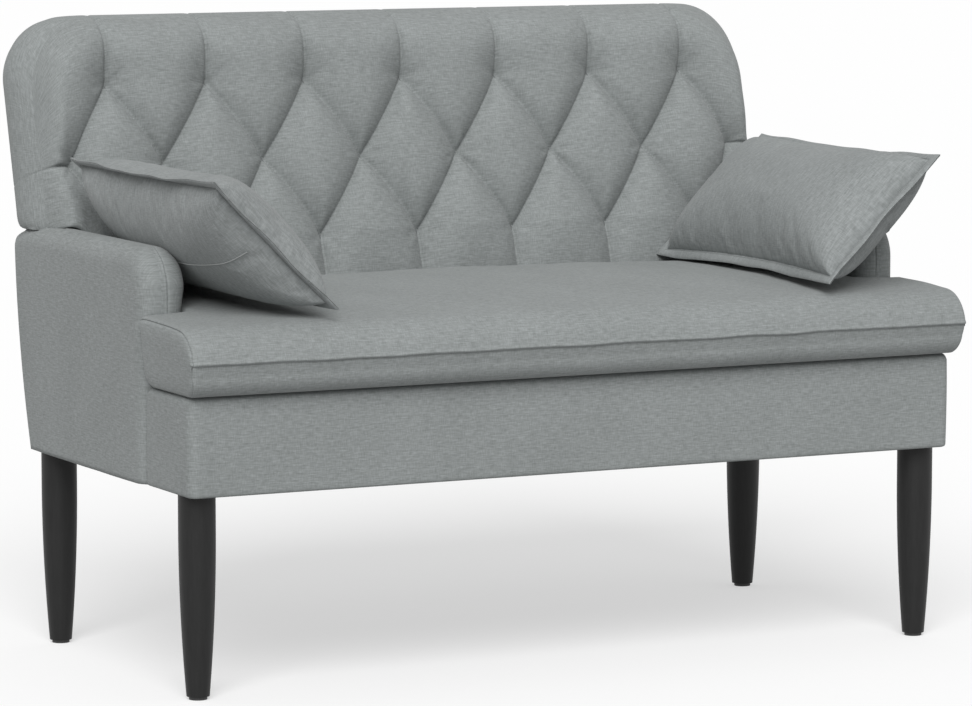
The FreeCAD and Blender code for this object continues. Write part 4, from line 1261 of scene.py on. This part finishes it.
def grained(name, colours, scale, size, detail, roughness, bump_depth, metallic=0.0, specular=0.5):
    """A finish with a stretched pattern on the piece's own coordinates."""
    made, tree, shader = finish_nodes(name)
    place = tree.nodes.new("ShaderNodeTexCoord")
    pattern = scaled_noise(tree, place.outputs["Object"], scale, size, detail)
    positions = (0.3, 0.7) if len(colours) == 2 else (0.25, 0.5, 0.75)
    coloured(tree, shader, pattern, list(zip(positions, colours)))
    bumped(tree, shader, pattern, 0.3, bump_depth)
    preset(shader, {"Roughness": roughness, "Metallic": metallic, "Specular IOR Level": specular})
    return made


# Colours, stretch and size of the pattern, its detail, roughness, bump depth, metal and shine
EVEN = (1, 1, 1)
FINISHES = {
    "sewing_thread": (((0.16, 0.17, 0.17), (0.24, 0.255, 0.253)), EVEN, 900, 2, 0.8, 0.0001),
    "pale_thread": (((0.31, 0.325, 0.32), (0.38, 0.395, 0.39)), EVEN, 900, 2, 0.8, 0.0001),
    "black_satin_paint": (((0.009, 0.009, 0.009), (0.013, 0.013, 0.013)), (1, 1, 0.12), 260, 3, 0.50,
                          0.0002, 0.0, 0.27),
    "glide_plastic": (((0.02, 0.02, 0.02), (0.035, 0.035, 0.035)), EVEN, 400, 2, 0.55, 0.0001),
    "frame_wood": (((0.36, 0.22, 0.11), (0.50, 0.33, 0.18), (0.58, 0.41, 0.25)), (0.08, 1, 1), 70, 5, 0.65,
                   0.0004),
    "thin_board": (((0.38, 0.25, 0.14), (0.50, 0.35, 0.21)), (0.3, 1, 1), 160, 4, 0.7, 0.0002),
    "spring_steel": (((0.16, 0.16, 0.17), (0.27, 0.27, 0.28)), EVEN, 300, 2, 0.38, 0.0001, 1.0),
    "zinc_steel": (((0.50, 0.50, 0.48), (0.66, 0.66, 0.64)), EVEN, 500, 3, 0.35, 0.0001, 1.0),
    "deck_felt": (((0.16, 0.15, 0.14), (0.30, 0.28, 0.26)), EVEN, 420, 5, 0.95, 0.0006),
    "black_lining": (((0.022, 0.022, 0.024), (0.040, 0.040, 0.042)), EVEN, 700, 4, 0.85, 0.0002),
    "tuft_twine": (((0.11, 0.12, 0.12), (0.17, 0.18, 0.18)), EVEN, 600, 3, 0.9, 0.0003),
}
upholstery = linen("upholstery_linen", (0.180, 0.194, 0.191), (0.243, 0.259, 0.257), (0.310, 0.330, 0.331))
pillow_linen = linen("pillow_linen", (0.184, 0.197, 0.196), (0.248, 0.264, 0.263), (0.315, 0.333, 0.336))
finishes = {name: grained(name, *values) for name, values in FINISHES.items()}


# Pieces in their places
def painted(piece, finish):
    piece.data.materials.clear()
    piece.data.materials.append(finish)
    return piece


def upholster(piece, body, finish, replaced):
    painted(piece, finish)
    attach(piece, body)
    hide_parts(*replaced)
    return piece


upholster(tufted_back(), "settee", upholstery, ["back_cover", "back_foam"])
rear = upholster(rear_panel(), "settee", upholstery, ["back_rear_cover"])
skirt = upholster(skirt_panel(), "settee", upholstery, ["rear_cover"])
upholster(seat_pad(), "settee", upholstery, ["seat_cover", "seat_foam"])
arm = right_arm()
other_arm = mirrored(arm, "left_arm")
upholster(arm, "settee", upholstery, ["right_arm_cover", "right_arm_foam"])
upholster(other_arm, "settee", upholstery, ["left_arm_cover", "left_arm_foam"])
skin = upholster(base_skin(), "settee", upholstery, ["base_cover"])
under = upholster(lining_sheet(), "settee", finishes["black_lining"], ["dust_cover"])

bag = pillow_bag()
flange = pillow_flange()
for pillow_name, side in (("right_pillow", 1), ("left_pillow", -1)):
    made = pillow(bag, flange, pillow_name + "_cushion", side)
    replaced = [pillow_name + part for part in ("_upper_panel", "_lower_panel", "_fill")]
    upholster(made, pillow_name, pillow_linen, replaced)
    turned = np.array([side, 1, 1])
    rows = [pillow_world(line) * turned for line in flange_stitch_lines()]
    sewn = stitches(pillow_name + "_stitches", rows, FLANGE_STITCH, finishes["sewing_thread"])
    rows = [pillow_world(closing_line(bag)) * turned]
    closed = stitches(pillow_name + "_closing", rows, CLOSING_STITCH, finishes["pale_thread"])
    for row in (sewn, closed):
        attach(row, pillow_name)
bpy.data.objects.remove(bag)
bpy.data.objects.remove(flange)

staples = stitches("lining_staples", staple_lines(), STAPLE, finishes["zinc_steel"])
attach(staples, "settee")

# Finishes of the frame's own pieces by how their names end; the other ones are zinc plated
ENDINGS = {
    "black_satin_paint": ("_leg",),
    "glide_plastic": ("leg_glides",),
    "frame_wood": ("_rail", "_post", "_upright", "_return", "_block", "_bearer"),
    "thin_board": ("back_board",),
    "spring_steel": ("zigzag_springs",),
    "deck_felt": ("deck_felt",),
    "tuft_twine": ("tuft_ties",),
}
for node_name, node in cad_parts.items():
    if node.hide_render:
        continue
    fitting = [finish for finish, endings in ENDINGS.items() if node_name.endswith(endings)]
    painted(node, finishes[fitting[0] if fitting else "zinc_steel"])


# Floor, light and camera
FLOOR_HALF = 40
FLOOR_GLOW = 0.5
SKY_STRENGTH = 0.45
KEY_STRENGTH = 2.70
KEY_SPREAD = math.radians(40)
KEY_WAY = (0.37, 0.67, -0.645)
SENSOR_WIDTH = 36
LENS_LENGTH = 177.43
CAMERA_PLACE = (-2.7229, -5.4359, 1.0564)
CAMERA_TURN = (math.radians(83.51), 0, math.radians(-26.69))


def seen_directly(tree):
    """One for what the camera sees, straight or through a reflection or glass, else nought."""
    rays = tree.nodes.new("ShaderNodeLightPath").outputs
    straight = combined(tree, rays["Is Camera Ray"], rays["Is Glossy Ray"], "MAXIMUM")
    return combined(tree, straight, rays["Is Transmission Ray"], "MAXIMUM")


def laid_floor():
    """A wide floor that is white to the camera and a plain grey to the light that it throws back."""
    reach = FLOOR_HALF
    ground = bpy.data.meshes.new("floor")
    corners = [(-reach, -reach, 0), (reach, -reach, 0), (reach, reach, 0), (-reach, reach, 0)]
    ground.from_pydata(corners, [], [(0, 1, 2, 3)])
    floor = linked("floor", ground)
    pale, tree, shader = finish_nodes("floor_white")
    preset(shader, {"Base Color": (0.98, 0.98, 0.98, 1), "Roughness": 1.0, "Specular IOR Level": 0.0})
    glow = tree.nodes.new("ShaderNodeEmission")
    shown = mixed(tree, FLOOR_GLOW, shader.outputs["BSDF"], glow.outputs["Emission"])
    bounce = tree.nodes.new("ShaderNodeBsdfDiffuse")
    preset(bounce, {"Color": (0.50, 0.50, 0.50, 1)})
    either = mixed(tree, seen_directly(tree), bounce.outputs["BSDF"], shown)
    tree.links.new(either, tree.nodes["Material Output"].inputs["Surface"])
    painted(floor, pale)


def studio():
    scene = bpy.context.scene
    scene.view_settings.view_transform = "Standard"
    laid_floor()
    world = bpy.data.worlds.new("studio")
    world.use_nodes = True
    tree = world.node_tree
    fill = tree.nodes["Background"]
    preset(fill, {"Color": (1, 1, 1, 1), "Strength": SKY_STRENGTH})
    seen = tree.nodes.new("ShaderNodeBackground")
    preset(seen, {"Color": (1, 1, 1, 1), "Strength": 1.0})
    sky = mixed(tree, seen_directly(tree), fill.outputs["Background"], seen.outputs["Background"])
    tree.links.new(sky, tree.nodes["World Output"].inputs["Surface"])
    scene.world = world
    data = bpy.data.lights.new("key", "SUN")
    data.energy = KEY_STRENGTH
    data.angle = KEY_SPREAD
    lamp = bpy.data.objects.new("key", data)
    lamp.rotation_euler = Vector(KEY_WAY).to_track_quat("-Z", "Y").to_euler()
    scene.collection.objects.link(lamp)
    lens = bpy.data.cameras.new("camera")
    lens.sensor_width = SENSOR_WIDTH
    lens.lens = LENS_LENGTH
    lens.clip_end = 200
    camera = bpy.data.objects.new("camera", lens)
    camera.location = CAMERA_PLACE
    camera.rotation_euler = CAMERA_TURN
    scene.collection.objects.link(camera)
    scene.camera = camera


studio()
